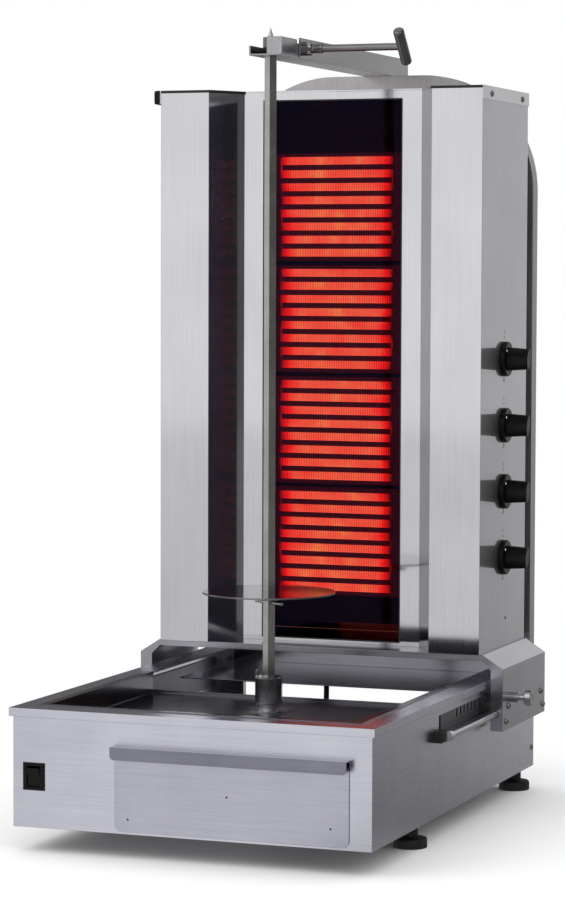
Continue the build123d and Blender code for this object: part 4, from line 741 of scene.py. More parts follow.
@dataclass
class HeatPanel:
    """The radiant zones: glowing ribbons folded to and fro behind the glass, and the glass seal."""

    zones: int = 4
    zone_pitch: float = 146 * MM
    bars: int = 8
    bar_pitch: float = 17.1 * MM
    bar_drop: float = 0.9 * MM
    bar_tall: float = 9.4 * MM
    # The ribbon's dull ends run past the glowing bars, more on the left.
    reach: tuple[float, float] = (11.0 * MM, 3.0 * MM)
    # The real ribbon is folded about every 1.6 mm; it is drawn every 2.4 mm so that the folds show.
    fold: float = 2.4 * MM
    ribbon_deep: float = 1.6 * MM
    ribbon_thick: float = 0.5 * MM
    link_w: float = 5.0 * MM
    open_half: float = 95.5 * MM
    sill: float = 4.0 * MM
    open_drop: float = 12.0 * MM
    seal_w: float = 1.6 * MM
    seal_tall: float = 0.9 * MM
    # The seal runs this far up behind the frame's top edge.
    seal_lap: float = 2.0 * MM

    def build(self) -> None:
        """Make the ribbons in place of the plain bars, and the seal."""
        low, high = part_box("heater_ribbons")
        low.x -= self.reach[0]
        high.x += self.reach[1]
        glow = GlowingRibbon("glowing_ribbon", middle=(low.x + high.x) / 2, half=(high.x - low.x) / 2)
        dress("heater_ribbons", glow)
        self.ribbons(low, high, glow)
        self.seal()

    def ribbons(self, low: Vector, high: Vector, glow: GlowingRibbon) -> None:
        """Fold one ribbon by extruding its edge up and down, then copy it to every bar and join the bars.

        Args:
            low: lowest corner of the bars.
            high: their highest corner.
            glow: the ribbon's finish.
        """
        shape = bmesh.new()
        front, back = low.y, low.y + self.ribbon_deep
        top = high.z - self.bar_drop
        foot = top - self.bar_tall
        start = [shape.verts.new((low.x, y, foot)) for y in (front, back)]
        edge = shape.edges.new(start)
        count = int((high.x - low.x) / self.fold) * 2
        step = (high.x - low.x) / count
        for fold in range(count):
            rise = self.bar_tall * (1 if fold % 2 == 0 else -1)
            for move in ((0, 0, rise), (step, 0, 0)):
                grown = bmesh.ops.extrude_edge_only(shape, edges=[edge])["geom"]
                edge = next(item for item in grown if isinstance(item, bmesh.types.BMEdge)
                            and all(vert in grown for vert in item.verts))
                bmesh.ops.translate(shape, verts=list(edge.verts), vec=move)
        first = list(shape.verts) + list(shape.edges) + list(shape.faces)
        for zone in range(self.zones):
            for bar in range(self.bars):
                drop = zone * self.zone_pitch + bar * self.bar_pitch
                if zone or bar:
                    copy = bmesh.ops.duplicate(shape, geom=first)["geom"]
                    bmesh.ops.translate(shape, verts=[v for v in copy if isinstance(v, bmesh.types.BMVert)],
                                        vec=(0, 0, -drop))
                if bar + 1 < self.bars:
                    side = low.x if bar % 2 == 0 else high.x - self.link_w
                    self.link(shape, Vector((side, back, foot - drop)))
        bmesh.ops.solidify(shape, geom=list(shape.faces), thickness=self.ribbon_thick)
        keep_piece(shape, "heater_ribbon_folds", glow, "tower", replaces=("heater_ribbons",))

    def link(self, shape: bmesh.types.BMesh, corner: Vector) -> None:
        """Join two bars at one end by a short flat strip.

        Args:
            shape: the mesh of the ribbons.
            corner: the strip's upper left corner.
        """
        tall = self.bar_pitch - self.bar_tall
        size = Matrix.Diagonal((self.link_w / 2, tall / 2, 1, 1))
        seat = Matrix.Translation(corner + Vector((self.link_w / 2, 0, -tall / 2)))
        bmesh.ops.create_grid(shape, x_segments=1, y_segments=1, size=1.0,
                              matrix=seat @ Matrix.Rotation(math.pi / 2, 4, "X") @ size)

    def seal(self) -> None:
        """Make the narrow black seal that shows round the glass inside its frame."""
        low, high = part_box("glass_frame")
        middle = (low.x + high.x) / 2
        foot, top = low.z + self.sill, high.z - self.open_drop + self.seal_lap
        shape = bmesh.new()
        size = Matrix.Diagonal((self.open_half, (top - foot) / 2, 1, 1))
        stand = Matrix.Translation((middle, high.y, (top + foot) / 2)) @ Matrix.Rotation(math.pi / 2, 4, "X")
        bmesh.ops.create_grid(shape, x_segments=1, y_segments=1, size=1.0, matrix=stand @ size)
        inner = bmesh.ops.inset_region(shape, faces=list(shape.faces), thickness=self.seal_w,
                                       use_boundary=True, use_even_offset=True)
        ring = set(inner["faces"])
        bmesh.ops.delete(shape, geom=[face for face in shape.faces if face not in ring], context="FACES")
        raise_flat(shape, list(shape.faces), (0, -self.seal_tall, 0))
        keep_piece(shape, "glass_seal", BLACK_RUBBER, "tower")


@dataclass
class ControlKnobs:
    """White dots on the knobs and the plain scale marks beside them on the side panel."""

    count: int = 4
    # The side panel's face lies this far inside the lid's edge.
    lid_lap: float = 1.5 * MM
    skirt_tall: float = 6.6 * MM
    lean_deg: float = -44.0
    dot_r: float = 1.6 * MM
    dot_out: float = 15.0 * MM
    dot_proud: float = 0.25 * MM
    mark_proud: float = 0.15 * MM
    tick: tuple[float, float] = (1.6 * MM, 4.0 * MM)
    ticks_out: tuple[float, ...] = (28.0 * MM, 35.0 * MM)
    arrow_r: float = 5.0 * MM
    arrow_line: float = 1.1 * MM
    arrow_drop: float = 26.5 * MM

    def build(self) -> None:
        """Make the dots and marks of each knob."""
        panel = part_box("tower_lid")[1].x - self.lid_lap
        marks = bmesh.new()
        for number in range(1, self.count + 1):
            low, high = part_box("knob_%d" % number)
            centre = Vector((panel, (low.y + high.y) / 2, (low.z + high.z) / 2))
            self.dot("knob_%d" % number, centre)
            self.marks(marks, centre)
        keep_piece(marks, "knob_scale_marks", GREY_PRINT, "tower")

    def around(self, centre: Vector, degrees: float, radius: float) -> Matrix:
        """Stand a flat shape on the panel at a clock angle from the top.

        Args:
            centre: the knob's centre on the panel.
            degrees: angle back from straight up.
            radius: distance from the centre.

        Returns:
            The shape's place, its own y pointing outward from the knob and its z off the panel.
        """
        turn = Matrix.Rotation(math.radians(-degrees), 4, "X")
        face = Matrix(((0, 0, 1, 0), (1, 0, 0, 0), (0, 1, 0, 0), (0, 0, 0, 1)))
        return Matrix.Translation(centre) @ turn @ face @ Matrix.Translation((0, radius, 0))

    def dot(self, node: str, centre: Vector) -> None:
        """Put the white dot on a knob's skirt.

        Args:
            node: the knob's solid and body.
            centre: the knob's centre on the panel.
        """
        shape = bmesh.new()
        seat = centre + X_AXIS * self.skirt_tall
        bmesh.ops.create_circle(shape, cap_ends=True, segments=20, radius=self.dot_r,
                                matrix=self.around(seat, self.lean_deg, self.dot_out))
        raise_flat(shape, list(shape.faces), (self.dot_proud, 0, 0))
        keep_piece(shape, node + "_white_dot", WHITE_DOT, node)

    def marks(self, shape: bmesh.types.BMesh, centre: Vector) -> None:
        """Add a knob's ticks over it and the outlined arrow head under it.

        Args:
            shape: the mesh of all marks.
            centre: the knob's centre on the panel.
        """
        before = set(shape.faces)
        size = Matrix.Diagonal((self.tick[0] / 2, self.tick[1] / 2, 1, 1))
        for out in self.ticks_out:
            bmesh.ops.create_grid(shape, x_segments=1, y_segments=1, size=1.0,
                                  matrix=self.around(centre, 0.0, out) @ size)
        arrow = self.around(centre, 180.0, self.arrow_drop) @ Matrix.Rotation(math.pi, 4, "Z")
        made = bmesh.ops.create_circle(shape, cap_ends=True, segments=3, radius=self.arrow_r,
                                       matrix=arrow)["verts"]
        head = list(made[0].link_faces)
        bmesh.ops.inset_region(shape, faces=head, thickness=self.arrow_line, use_boundary=True,
                               use_even_offset=True)
        bmesh.ops.delete(shape, geom=head, context="FACES_ONLY")
        flat = [face for face in shape.faces if face not in before]
        raise_flat(shape, flat, (self.mark_proud, 0, 0))


@dataclass
class ScrewHeads:
    """Button heads with hexagon sockets in place of the plain discs of a group of screws."""

    node: str
    body: str
    steps: int = 24
    # The dome's outline, as shares of the head's height and radius.
    dome_shares: tuple[tuple[float, float], ...] = ((0.35, 1.0), (0.75, 0.86), (1.0, 0.62))
    socket_sides: int = 6
    socket_share: float = 0.5
    socket_deep_share: float = 0.6

    def build(self) -> None:
        """Make every head of the group at its solid's place."""
        shape = bmesh.new()
        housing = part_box("base_housing")
        middle = (housing[0].x + housing[1].x) / 2
        for low, high in islands(self.node):
            size = high - low
            outward = 1 if (low.x + high.x) / 2 > middle else -1
            seat = Vector((low.x if outward > 0 else high.x, (low.y + high.y) / 2, (low.z + high.z) / 2))
            self.head(shape, seat, X_AXIS * outward, size.z / 2, size.x)
        keep_piece(shape, self.node + "_heads", ZINC, self.body, replaces=(self.node,))

    def head(self, shape: bmesh.types.BMesh, seat: Vector, axis: Vector, radius: float, tall: float) -> None:
        """Turn one domed head and square its socket into a hexagon.

        Args:
            shape: the mesh of all heads.
            seat: where the head's underside sits.
            axis: the way it faces.
            radius: the head's radius.
            tall: its height.
        """
        socket = radius * self.socket_share
        deep = tall * (1 - self.socket_deep_share)
        dome = [(tall * up, radius * out) for up, out in self.dome_shares]
        outline = [(0, 0), (0, radius), *dome, (tall, socket), (deep, socket), (deep, 0)]
        verts = lathe(shape, outline, seat, axis, self.steps)
        sector = FULL_TURN / self.socket_sides

        def hexagon(along: float, away: float, step: int) -> float:
            """Pull the socket's rings out to six flats."""
            if abs(away - socket) > NEAR:
                return 1.0
            angle = (step / self.steps * FULL_TURN) % sector - sector / 2
            return math.cos(sector / 2) / math.cos(angle)

        reshape(verts, seat, axis, self.steps, hexagon)


@dataclass
class IndexPlunger:
    """The index plunger with a knurled, dished head, a stem and a chamfered pin."""

    steps: int = 48
    head_long: float = 9.0 * MM
    head_r: float = 10.0 * MM
    stem_r: float = 4.0 * MM
    pin_r: float = 3.0 * MM
    pin_long: float = 9.0 * MM
    chamfer: float = 1.0 * MM
    knurl: float = 0.35 * MM
    rings: int = 7
    # The shallow dish in the head's end: its depth, and its radius at the rim and the floor.
    dish_deep: float = 0.5 * MM
    dish_shares: tuple[float, float] = (0.55, 0.5)

    def build(self) -> None:
        """Turn the plunger and press the knurl into its head."""
        low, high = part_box("index_plunger")
        centre = Vector((low.x, (low.y + high.y) / 2, (low.z + high.z) / 2))
        long = high.x - low.x
        head = long - self.head_long
        pitch = (self.head_long - 2 * self.chamfer) / (self.rings - 1)
        band = [(head + self.chamfer + pitch * ring, self.head_r) for ring in range(self.rings)]
        dish = long - self.dish_deep
        rim_r, floor_r = (self.head_r * share for share in self.dish_shares)
        outline = [(0, 0), (0, self.pin_r - self.chamfer), (self.chamfer, self.pin_r),
                   (self.pin_long, self.pin_r), (self.pin_long, self.stem_r), (head, self.stem_r),
                   (head, self.head_r - self.chamfer), *band, (long, self.head_r - self.chamfer),
                   (long, rim_r), (dish, floor_r), (dish, 0)]
        shape = bmesh.new()
        verts = lathe(shape, outline, centre, X_AXIS, self.steps)

        def knurled(along: float, away: float, step: int) -> float:
            """Push every other point of the head's band inward, row against row."""
            if abs(away - self.head_r) > NEAR:
                return 1.0
            row = round((along - head - self.chamfer) / pitch)
            return 1.0 - self.knurl / self.head_r if (row + step) % 2 else 1.0

        reshape(verts, centre, X_AXIS, self.steps, knurled)
        keep_piece(shape, "index_plunger_knurled", STEEL_TURNED, "plunger",
                   replaces=("index_plunger",), smooth_deg=15.0)


@dataclass
class LevellingFeet:
    """Four levelling feet with a ribbed rim, a stepped stem and the stud above."""

    corners: tuple[str, ...] = ("front_left", "front_right", "rear_left", "rear_right")
    steps: int = 48
    pad_r: float = 20.5 * MM
    pad_tall: float = 12.0 * MM
    stem_r: float = 9.0 * MM
    stud_r: float = 5.0 * MM
    stud_tall: float = 12.0 * MM
    rib: float = 0.5 * MM
    round_r: float = 2.5 * MM
    pad_chamfer: float = 1.0 * MM
    flare_out: float = 3.0 * MM
    flare_tall: float = 2.0 * MM
    stud_chamfer: float = 0.8 * MM

    def build(self) -> None:
        """Turn each foot and rib its rim."""
        for corner in self.corners:
            node = "foot_" + corner
            low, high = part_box(node)
            centre = Vector(((low.x + high.x) / 2, (low.y + high.y) / 2, low.z))
            tall = high.z - low.z
            under = tall - self.stud_tall
            bend = [(self.pad_tall - self.round_r * (1 - math.sin(turn)),
                     self.pad_r - self.round_r * (1 - math.cos(turn)))
                    for turn in (0, math.pi / 6, math.pi / 3, math.pi / 2)]
            outline = [(0, 0), (0, self.pad_r - self.pad_chamfer), (self.pad_chamfer, self.pad_r), *bend,
                       (self.pad_tall, self.stem_r + self.flare_out),
                       (self.pad_tall + self.flare_tall, self.stem_r), (under, self.stem_r),
                       (under, self.stud_r), (tall - self.stud_chamfer, self.stud_r),
                       (tall, self.stud_r - self.stud_chamfer), (tall, 0)]
            shape = bmesh.new()
            verts = lathe(shape, outline, centre, Z_AXIS, self.steps)
            limit = self.pad_r - self.round_r

            def ribbed(along: float, away: float, step: int) -> float:
                """Draw every other step of the rim in to make ribs."""
                inside = self.pad_chamfer <= along + NEAR and away > limit
                return 1.0 - self.rib / self.pad_r if inside and step % 4 in (0, 1) else 1.0

            reshape(verts, centre, Z_AXIS, self.steps, ribbed)
            keep_piece(shape, node + "_ribbed", BLACK_RUBBER, node, replaces=(node,))


@dataclass
class ClampScrew:
    """The clamp's rod with a cut thread at its root and a turned shoulder."""

    steps: int = 28
    screw_r: float = 5.0 * MM
    root_r: float = 6.0 * MM
    rod_r: float = 4.5 * MM
    inner_long: float = 10.45 * MM
    root_long: float = 14.0 * MM
    pitch: float = 1.75 * MM
    thread: float = 0.6 * MM
    # How many pitches stay plain at the root's end.
    plain_pitches: float = 2.5

    def build(self) -> None:
        """Turn the rod with a grooved root."""
        low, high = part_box("clamp_screw")
        centre = Vector((low.x, (low.y + high.y) / 2, (low.z + high.z) / 2))
        long = high.x - low.x
        root_end = self.inner_long + self.root_long
        outline = [(0, 0), (0, self.screw_r), (self.inner_long, self.screw_r),
                   (self.inner_long, self.root_r)]
        along = self.inner_long + self.pitch
        while along < root_end - self.plain_pitches * self.pitch:
            outline += [(along, self.root_r), (along + self.pitch / 2, self.root_r - self.thread)]
            along += self.pitch
        outline += [(along, self.root_r), (root_end - self.thread, self.root_r),
                    (root_end, self.root_r - self.thread), (root_end, self.rod_r), (long, self.rod_r),
                    (long, 0)]
        shape = bmesh.new()
        lathe(shape, outline, centre, X_AXIS, self.steps)
        keep_piece(shape, "clamp_screw_threaded", STEEL_WORN, "clamp",
                   replaces=("clamp_screw",))


@dataclass
class GreaseDrawer:
    """Spot-weld dimples on the drawer's front, where the tray is fixed behind it."""

    # Each dimple is given as shares of the front's width and height from its lower left corner.
    places: tuple[tuple[float, float], ...] = ((0.058, 0.168), (0.485, 0.552), (0.923, 0.235))
    radius: float = 1.3 * MM
    proud: float = 0.3 * MM
    # A dimple's ringed outline, as shares of its height and radius.
    ring_shares: tuple[tuple[float, float], ...] = ((0, 1), (1, 0.8), (0.9, 0.55), (0.2, 0.3), (0.1, 0))
    steps: int = 16

    def build(self) -> None:
        """Raise a small ringed dimple at each weld."""
        low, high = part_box("drawer_front")
        shape = bmesh.new()
        outline = [(self.proud * up, self.radius * out) for up, out in self.ring_shares]
        for across, up in self.places:
            seat = Vector((low.x + across * (high.x - low.x), low.y, low.z + up * (high.z - low.z)))
            lathe(shape, outline, seat, -Y_AXIS, self.steps)
        keep_piece(shape, "drawer_spot_welds", BLACK_SHADE_AND_WELDS, "drawer", smooth_deg=60.0)


@dataclass
class LidShadowStrip:
    """A thin black strip of painted shadow under the lid's edge along the front of each wing and the left
    splay.
    """

    wing_w: float = 68.5 * MM
    splay_in: float = 29.5 * MM
    drop: float = 1.9 * MM
    tall: float = 3.4 * MM
    proud: float = 0.35 * MM

    def build(self) -> None:
        """Lay a flat black strip of painted shadow on each face just under the lid."""
        low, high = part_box("left_panel")[0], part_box("right_panel")[1]
        front, back = low.y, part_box("glass_frame")[0].y
        turn = low.x + self.wing_w
        shape = bmesh.new()
        self.strip(shape, (low.x, front), (turn, front))
        self.strip(shape, (turn, front), (turn + self.splay_in, back))
        self.strip(shape, (high.x - self.wing_w, front), (high.x, front))
        # Painted shadow: black strips where the lid's edge throws its shade.
        keep_piece(shape, "lid_shadow_strip", BLACK_RUBBER, "tower")

    def strip(self, shape: bmesh.types.BMesh, start: tuple[float, float], end: tuple[float, float]) -> None:
        """Lay one strip between two places on the front.

        Args:
            shape: the mesh of all strips.
            start: where it starts, across and deep.
            end: where it ends.
        """
        run = Vector((end[0] - start[0], end[1] - start[1], 0))
        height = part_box("tower_lid")[1].z - self.drop
        middle = Vector(((start[0] + end[0]) / 2, (start[1] + end[1]) / 2, height))
        size = Matrix.Diagonal((run.length, 2 * self.proud, self.tall, 1))
        place = Matrix.Translation(middle) @ Matrix.Rotation(math.atan2(run.y, run.x), 4, "Z")
        bmesh.ops.create_cube(shape, size=1.0, matrix=place @ size)


@dataclass
class RearPanel:
    """Pressed cooling louvres and fixing screws on the tower's back."""

    rows: int = 6
    columns: int = 2
    louvre: tuple[float, float, float] = (52 * MM, 5.5 * MM, 7 * MM)
    column_gap: float = 150 * MM
    row_pitch: float = 24 * MM
    top_drop: float = 90 * MM
    sheet: float = 0.8 * MM
    # How far the open edge lies under a louvre's middle, and how far round the middle its points reach.
    lip_share: float = 0.2
    reach_share: float = 0.51
    screw_r: float = 4.0 * MM
    screw_tall: float = 1.8 * MM
    screw_in: float = 9.0 * MM
    screw_rows: int = 4

    def build(self) -> None:
        """Make the louvres and the screws."""
        low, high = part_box("tower_back")
        middle = (low.x + high.x) / 2
        shape = bmesh.new()
        for column in range(self.columns):
            for row in range(self.rows):
                x = middle + (column - (self.columns - 1) / 2) * self.column_gap
                self.hood(shape, Vector((x, high.y, high.z - self.top_drop - row * self.row_pitch)))
        bmesh.ops.recalc_face_normals(shape, faces=list(shape.faces))
        bmesh.ops.solidify(shape, geom=list(shape.faces), thickness=self.sheet)
        keep_piece(shape, "rear_louvres", STEEL_UPRIGHT, "tower")
        heads = bmesh.new()
        maker = ScrewHeads("tower_screws", "tower")
        for row in range(self.screw_rows):
            z = low.z + self.screw_in + (high.z - low.z - 2 * self.screw_in) * row / (self.screw_rows - 1)
            for x in (low.x + self.screw_in, high.x - self.screw_in):
                maker.head(heads, Vector((x, high.y, z)), Y_AXIS, self.screw_r, self.screw_tall)
        keep_piece(heads, "rear_panel_screws", ZINC, "tower")

    def hood(self, shape: bmesh.types.BMesh, seat: Vector) -> None:
        """Press one louvre: half an ellipsoid off the panel, open along its lower edge.

        Args:
            shape: the mesh of all louvres.
            seat: the louvre's middle on the panel.
        """
        size = Matrix.Diagonal((self.louvre[0] / 2, self.louvre[1], self.louvre[2], 1))
        made = bmesh.ops.create_uvsphere(shape, u_segments=16, v_segments=10, radius=1.0,
                                         matrix=Matrix.Translation(seat) @ size)["verts"]
        self.trim(shape, made, seat, Y_AXIS)
        reach = self.louvre[0] * self.reach_share
        kept = [vert for vert in shape.verts if (vert.co - seat).length < reach]
        self.trim(shape, kept, seat - Z_AXIS * self.louvre[2] * self.lip_share, Z_AXIS)

    def trim(self, shape: bmesh.types.BMesh, verts: list[bmesh.types.BMVert], place: Vector,
             outward: Vector) -> None:
        """Cut off what lies behind a plane.

        Args:
            shape: the mesh of all louvres.
            verts: the points of the louvre that is cut.
            place: a point of the plane.
            outward: the side that stays.
        """
        faces = list(dict.fromkeys(face for vert in verts for face in vert.link_faces))
        edges = list(dict.fromkeys(edge for vert in verts for edge in vert.link_edges))
        bmesh.ops.bisect_plane(shape, geom=verts + edges + faces, plane_co=place, plane_no=outward,
                               clear_inner=True)


@dataclass
class MotorLead:
    """The black lead that hangs from the sliding saddle's guard to the drive motor in the base."""

    across: float = -22.55 * MM
    # The route's turns from the motor up to the guard, as depth and height.
    route: tuple[tuple[float, float], ...] = (
        (6.55 * MM, 55 * MM), (49.3 * MM, 55 * MM), (96.0 * MM, 63.7 * MM), (128.3 * MM, 86.5 * MM),
        (138.15 * MM, 118.6 * MM), (138.15 * MM, 153.5 * MM))
    radius: float = 3.5 * MM

    def build(self) -> None:
        """Make the lead as a smooth tube that bends between the base and the tower."""
        curve = bpy.data.curves.new("motor_lead_route", "CURVE")
        curve.dimensions = "3D"
        curve.bevel_depth = self.radius
        curve.bevel_resolution = 5
        curve.use_fill_caps = True
        spline = curve.splines.new("NURBS")
        spline.points.add(len(self.route) - 1)
        for point, (y, z) in zip(spline.points, self.route):
            point.co = (self.across, y, z, 1.0)
        spline.order_u = 3
        spline.use_endpoint_u = True
        spline.resolution_u = 10
        holder = link_object("motor_lead_route", curve)
        bpy.context.view_layer.update()
        mesh = bpy.data.meshes.new_from_object(holder.evaluated_get(bpy.context.evaluated_depsgraph_get()))
        bpy.data.objects.remove(holder)
        mesh.materials.clear()
        mesh.materials.append(BLACK_SHEATH.material())
        piece = link_object("motor_lead_sheath", mesh)
        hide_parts("motor_lead")
        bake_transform(piece)
        LOG.info("motor_lead_sheath bends between base and tower")


@dataclass
class Studio:
    """Pale floor, soft lamps, a graded grey dome and the camera of the photograph."""

    camera_place: tuple[float, float, float] = (1.32415, -3.58645, 0.6917)
    yaw_deg: float = 20.73
    pitch_deg: float = 3.42
    roll_deg: float = -0.19
    focal_px: float = 3038.1
    sensor: float = 36.0
    clip_end: float = 200.0
    floor_half: float = 30.0
    floor_tone: str = "#f7f7f7"
    # How far from the grill's middle the floor starts to run out to white, and where it is plain white.
    fade: tuple[float, float] = (0.36, 0.72)
    dome_r: float = 9.0
    # The dome runs down past the floor by this share of its radius.
    dome_skirt_share: float = 0.1
    # How bright the dome is overhead, and the heights between which it changes to that.
    roof: float = 0.22
    roof_degs: tuple[float, float] = (25.0, 50.0)
    # How bright the dome is near the floor, by the clock angle from the front toward the right.
    skirt: tuple[tuple[float, float], ...] = (
        (-180, 0.42), (-170, 0.15), (-130, 0.1), (-105, 0.4), (-88, 0.75), (-66, 0.6), (-48, 0.5),
        (-40, 0.65), (-32, 0.9), (-20, 1.0), (8, 1.0), (18, 0.5), (40, 0.12), (105, 0.12),
        (130, 0.35), (152, 0.45), (180, 0.42))
    # The same for the floor, as the metal sees it.
    ground: tuple[tuple[float, float], ...] = (
        (-180, 0.3), (-170, 0.12), (-130, 0.1), (-105, 0.35), (-88, 0.6), (-66, 0.5), (-48, 0.4),
        (-40, 0.5), (-32, 0.72), (-20, 0.8), (8, 0.8), (18, 0.5), (50, 0.25), (95, 0.18),
        (130, 0.22), (152, 0.32), (180, 0.3))
    # Each lamp's name, place, side and power in watts.
    lamps: tuple[tuple[str, tuple[float, float, float], float, float], ...] = (
        ("key_lamp", (-1.9, -2.2, 2.6), 2.6, 26.0),
        ("fill_lamp", (2.2, -2.4, 2.2), 2.2, 16.0),
        ("top_lamp", (-0.2, 0.2, 3.0), 2.6, 12.0))

    def build(self) -> None:
        """Set up floor, dome, world, lamps and camera."""
        self.floor()
        self.dome()
        self.world()
        for name, place, size, power in self.lamps:
            self.lamp(name, place, size, power)
        self.camera()
        bpy.context.scene.view_settings.view_transform = "Standard"
        LOG.info("studio ready")

    def round_ramp(self, tree: bpy.types.NodeTree,
                   stops: Sequence[tuple[float, float]]) -> bpy.types.NodeSocket:
        """Grade the dome or the floor by the clock angle round the grill.

        Args:
            tree: the material's tree.
            stops: angles in degrees from the front toward the right, with the brightness at each.

        Returns:
            The socket that gives the brightness.
        """
        place = add_node(tree, "ShaderNodeTexCoord").outputs["Object"]
        parts = add_node(tree, "ShaderNodeSeparateXYZ", links={"Vector": place}).outputs
        ahead = add_node(tree, "ShaderNodeMath", {"operation": "MULTIPLY"}, {1: -1.0},
                         {0: parts["Y"]}).outputs[0]
        angle = add_node(tree, "ShaderNodeMath", {"operation": "ARCTAN2"},
                         links={0: parts["X"], 1: ahead}).outputs[0]
        share = add_node(tree, "ShaderNodeMapRange", values={"From Min": -math.pi, "From Max": math.pi},
                         links={"Value": angle}).outputs["Result"]
        ramp = add_node(tree, "ShaderNodeValToRGB", links={"Fac": share})
        ramp.color_ramp.interpolation = "EASE"
        stop_list = ramp.color_ramp.elements
        for number, (degrees, level) in enumerate(stops):
            at = (degrees + 180) / 360
            stop = stop_list[0] if number == 0 else stop_list.new(at)
            stop.position = at
            stop.color = (level, level, level, 1.0)
        stop_list.remove(stop_list[-1])
        return ramp.outputs["Color"]

    def mirror_ray(self, tree: bpy.types.NodeTree) -> bpy.types.NodeSocket:
        """Tell rays that show the set in metal or glass from the others.

        Args:
            tree: the node tree.

        Returns:
            The socket that is one for glossy and transmission rays.
        """
        path = add_node(tree, "ShaderNodeLightPath").outputs
        return add_node(tree, "ShaderNodeMath", {"operation": "MAXIMUM"},
                        links={0: path["Is Glossy Ray"], 1: path["Is Transmission Ray"]}).outputs[0]

    def floor(self) -> None:
        """Lay the pale floor, which keeps the shadow near the grill and runs out to plain white."""
        made, tree = blank_material("pale_studio_floor")
        place = add_node(tree, "ShaderNodeTexCoord").outputs["Object"]
        away = add_node(tree, "ShaderNodeVectorMath", {"operation": "LENGTH"},
                        links={0: place}).outputs["Value"]
        far = add_node(tree, "ShaderNodeMapRange", {"interpolation_type": "SMOOTHSTEP"},
                       {"From Min": self.fade[0], "From Max": self.fade[1]},
                       {"Value": away}).outputs["Result"]
        eye = add_node(tree, "ShaderNodeLightPath").outputs["Is Camera Ray"]
        seen = add_node(tree, "ShaderNodeMath", {"operation": "MULTIPLY_ADD"},
                        links={0: eye, 1: far, 2: self.mirror_ray(tree)}).outputs[0]
        tone = add_node(tree, "ShaderNodeMix", {"data_type": "RGBA"}, {7: WHITE},
                        {0: eye, 6: self.round_ramp(tree, self.ground)}).outputs[2]
        plain = add_node(tree, "ShaderNodeBsdfDiffuse",
                         values={"Color": linear(self.floor_tone)}).outputs["BSDF"]
        paper = add_node(tree, "ShaderNodeEmission", values={"Strength": 1.0},
                         links={"Color": tone}).outputs["Emission"]
        mixed = add_node(tree, "ShaderNodeMixShader", links={0: seen, 1: plain, 2: paper})
        add_node(tree, "ShaderNodeOutputMaterial", links={"Surface": mixed.outputs["Shader"]})
        shape = bmesh.new()
        bmesh.ops.create_grid(shape, x_segments=2, y_segments=2, size=self.floor_half)
        self.stand(shape, "studio_floor", made)

    def dome(self) -> None:
        """Set a grey dome over the set, so that the metal has dark and light to show."""
        made, tree = blank_material("grey_studio_dome")
        place = add_node(tree, "ShaderNodeTexCoord").outputs["Object"]
        height = add_node(tree, "ShaderNodeSeparateXYZ", links={"Vector": place}).outputs["Z"]
        low, high = (self.dome_r * math.sin(math.radians(angle)) for angle in self.roof_degs)
        over = add_node(tree, "ShaderNodeMapRange", {"interpolation_type": "SMOOTHSTEP"},
                        {"From Min": low, "From Max": high}, {"Value": height}).outputs["Result"]
        grey = (self.roof, self.roof, self.roof, 1.0)
        tone = add_node(tree, "ShaderNodeMix", {"data_type": "RGBA"}, {7: grey},
                        {0: over, 6: self.round_ramp(tree, self.skirt)}).outputs[2]
        glow = add_node(tree, "ShaderNodeEmission", values={"Strength": 1.0}, links={"Color": tone})
        add_node(tree, "ShaderNodeOutputMaterial", links={"Surface": glow.outputs["Emission"]})
        shape = bmesh.new()
        ball = bmesh.ops.create_uvsphere(shape, u_segments=96, v_segments=48, radius=self.dome_r)["verts"]
        foot = -self.dome_r * self.dome_skirt_share
        bmesh.ops.delete(shape, geom=[vert for vert in ball if vert.co.z < foot], context="VERTS")
        cover = self.stand(shape, "studio_dome", made)
        cover.visible_camera = False
        cover.visible_diffuse = False
        cover.visible_shadow = False

    def stand(self, shape: bmesh.types.BMesh, name: str, made: bpy.types.Material) -> bpy.types.Object:
        """Put a piece of the set in place, apart from the grill.

        Args:
            shape: its mesh, which is freed.
            name: its name.
            made: its material.

        Returns:
            The staged object.
        """
        mesh = bpy.data.meshes.new(name)
        shape.to_mesh(mesh)
        shape.free()
        mesh.materials.append(made)
        piece = link_object(name, mesh)
        return piece

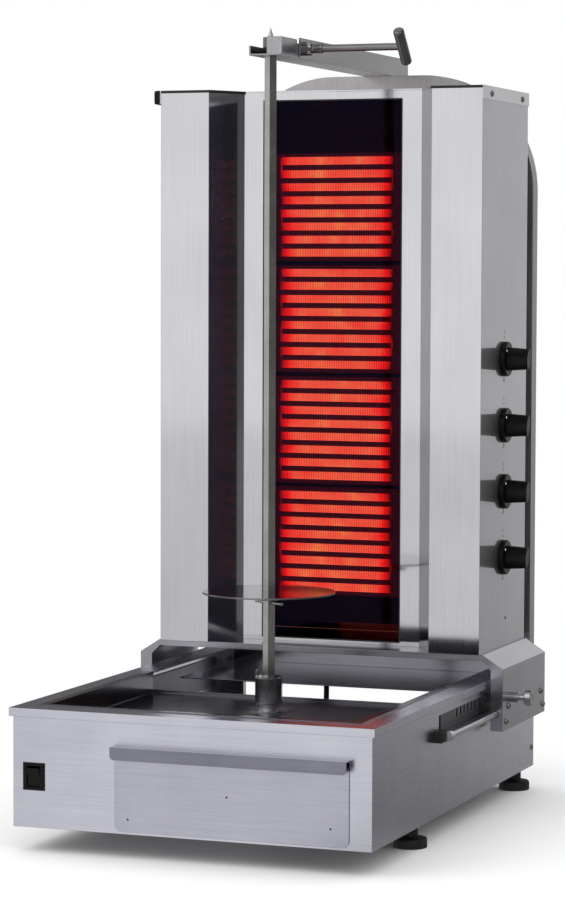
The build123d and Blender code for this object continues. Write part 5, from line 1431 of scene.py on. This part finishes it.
    def world(self) -> None:
        """Make the surround: white to the eye and an even light on plain surfaces."""
        world = bpy.data.worlds.new("studio_surround")
        bpy.context.scene.world = world
        world.use_nodes = True
        tree = world.node_tree
        tree.nodes.clear()
        back = add_node(tree, "ShaderNodeBackground", values={"Color": WHITE, "Strength": 1.0})
        add_node(tree, "ShaderNodeOutputWorld", links={"Surface": back.outputs["Background"]})

    def lamp(self, name: str, place: tuple[float, float, float], size: float, power: float) -> None:
        """Hang a soft square lamp that faces the grill's middle.

        Args:
            name: the lamp's name.
            place: where it hangs.
            size: its side.
            power: its power in watts.
        """
        data = bpy.data.lights.new(name, "AREA")
        data.shape = "SQUARE"
        data.size = size
        data.energy = power
        lamp = link_object(name, data)
        lamp.location = place
        target = (CAD_BOX[0] + CAD_BOX[1]) / 2
        lamp.rotation_euler = (target - Vector(place)).to_track_quat("-Z", "Y").to_euler()

    def camera(self) -> None:
        """Stand the camera where the photograph was taken from."""
        data = bpy.data.cameras.new("photo_camera")
        data.sensor_width = self.sensor
        data.lens = self.focal_px / IMAGE_TALL_PX * self.sensor
        data.clip_end = self.clip_end
        camera = link_object("photo_camera", data)
        yaw, pitch, roll = (math.radians(angle) for angle in (self.yaw_deg, self.pitch_deg, self.roll_deg))
        level = Matrix.Rotation(yaw, 4, "Z") @ Matrix.Rotation(math.pi / 2 - pitch, 4, "X")
        turn = level @ Matrix.Rotation(-roll, 4, "Z")
        camera.matrix_world = Matrix.Translation(self.camera_place) @ turn
        bpy.context.scene.camera = camera


def main() -> None:
    """Build every sub-assembly in order."""
    logging.basicConfig(level=logging.INFO, format="%(name)s: %(message)s")
    Studio().build()
    MotorLead().build()
    SheetWork().dress_all()
    HeatPanel().build()
    ControlKnobs().build()
    ScrewHeads("tower_screws", "tower").build()
    ScrewHeads("base_screws", "base").build()
    IndexPlunger().build()
    LevellingFeet().build()
    ClampScrew().build()
    GreaseDrawer().build()
    LidShadowStrip().build()
    RearPanel().build()


if __name__ == "__main__":
    main()
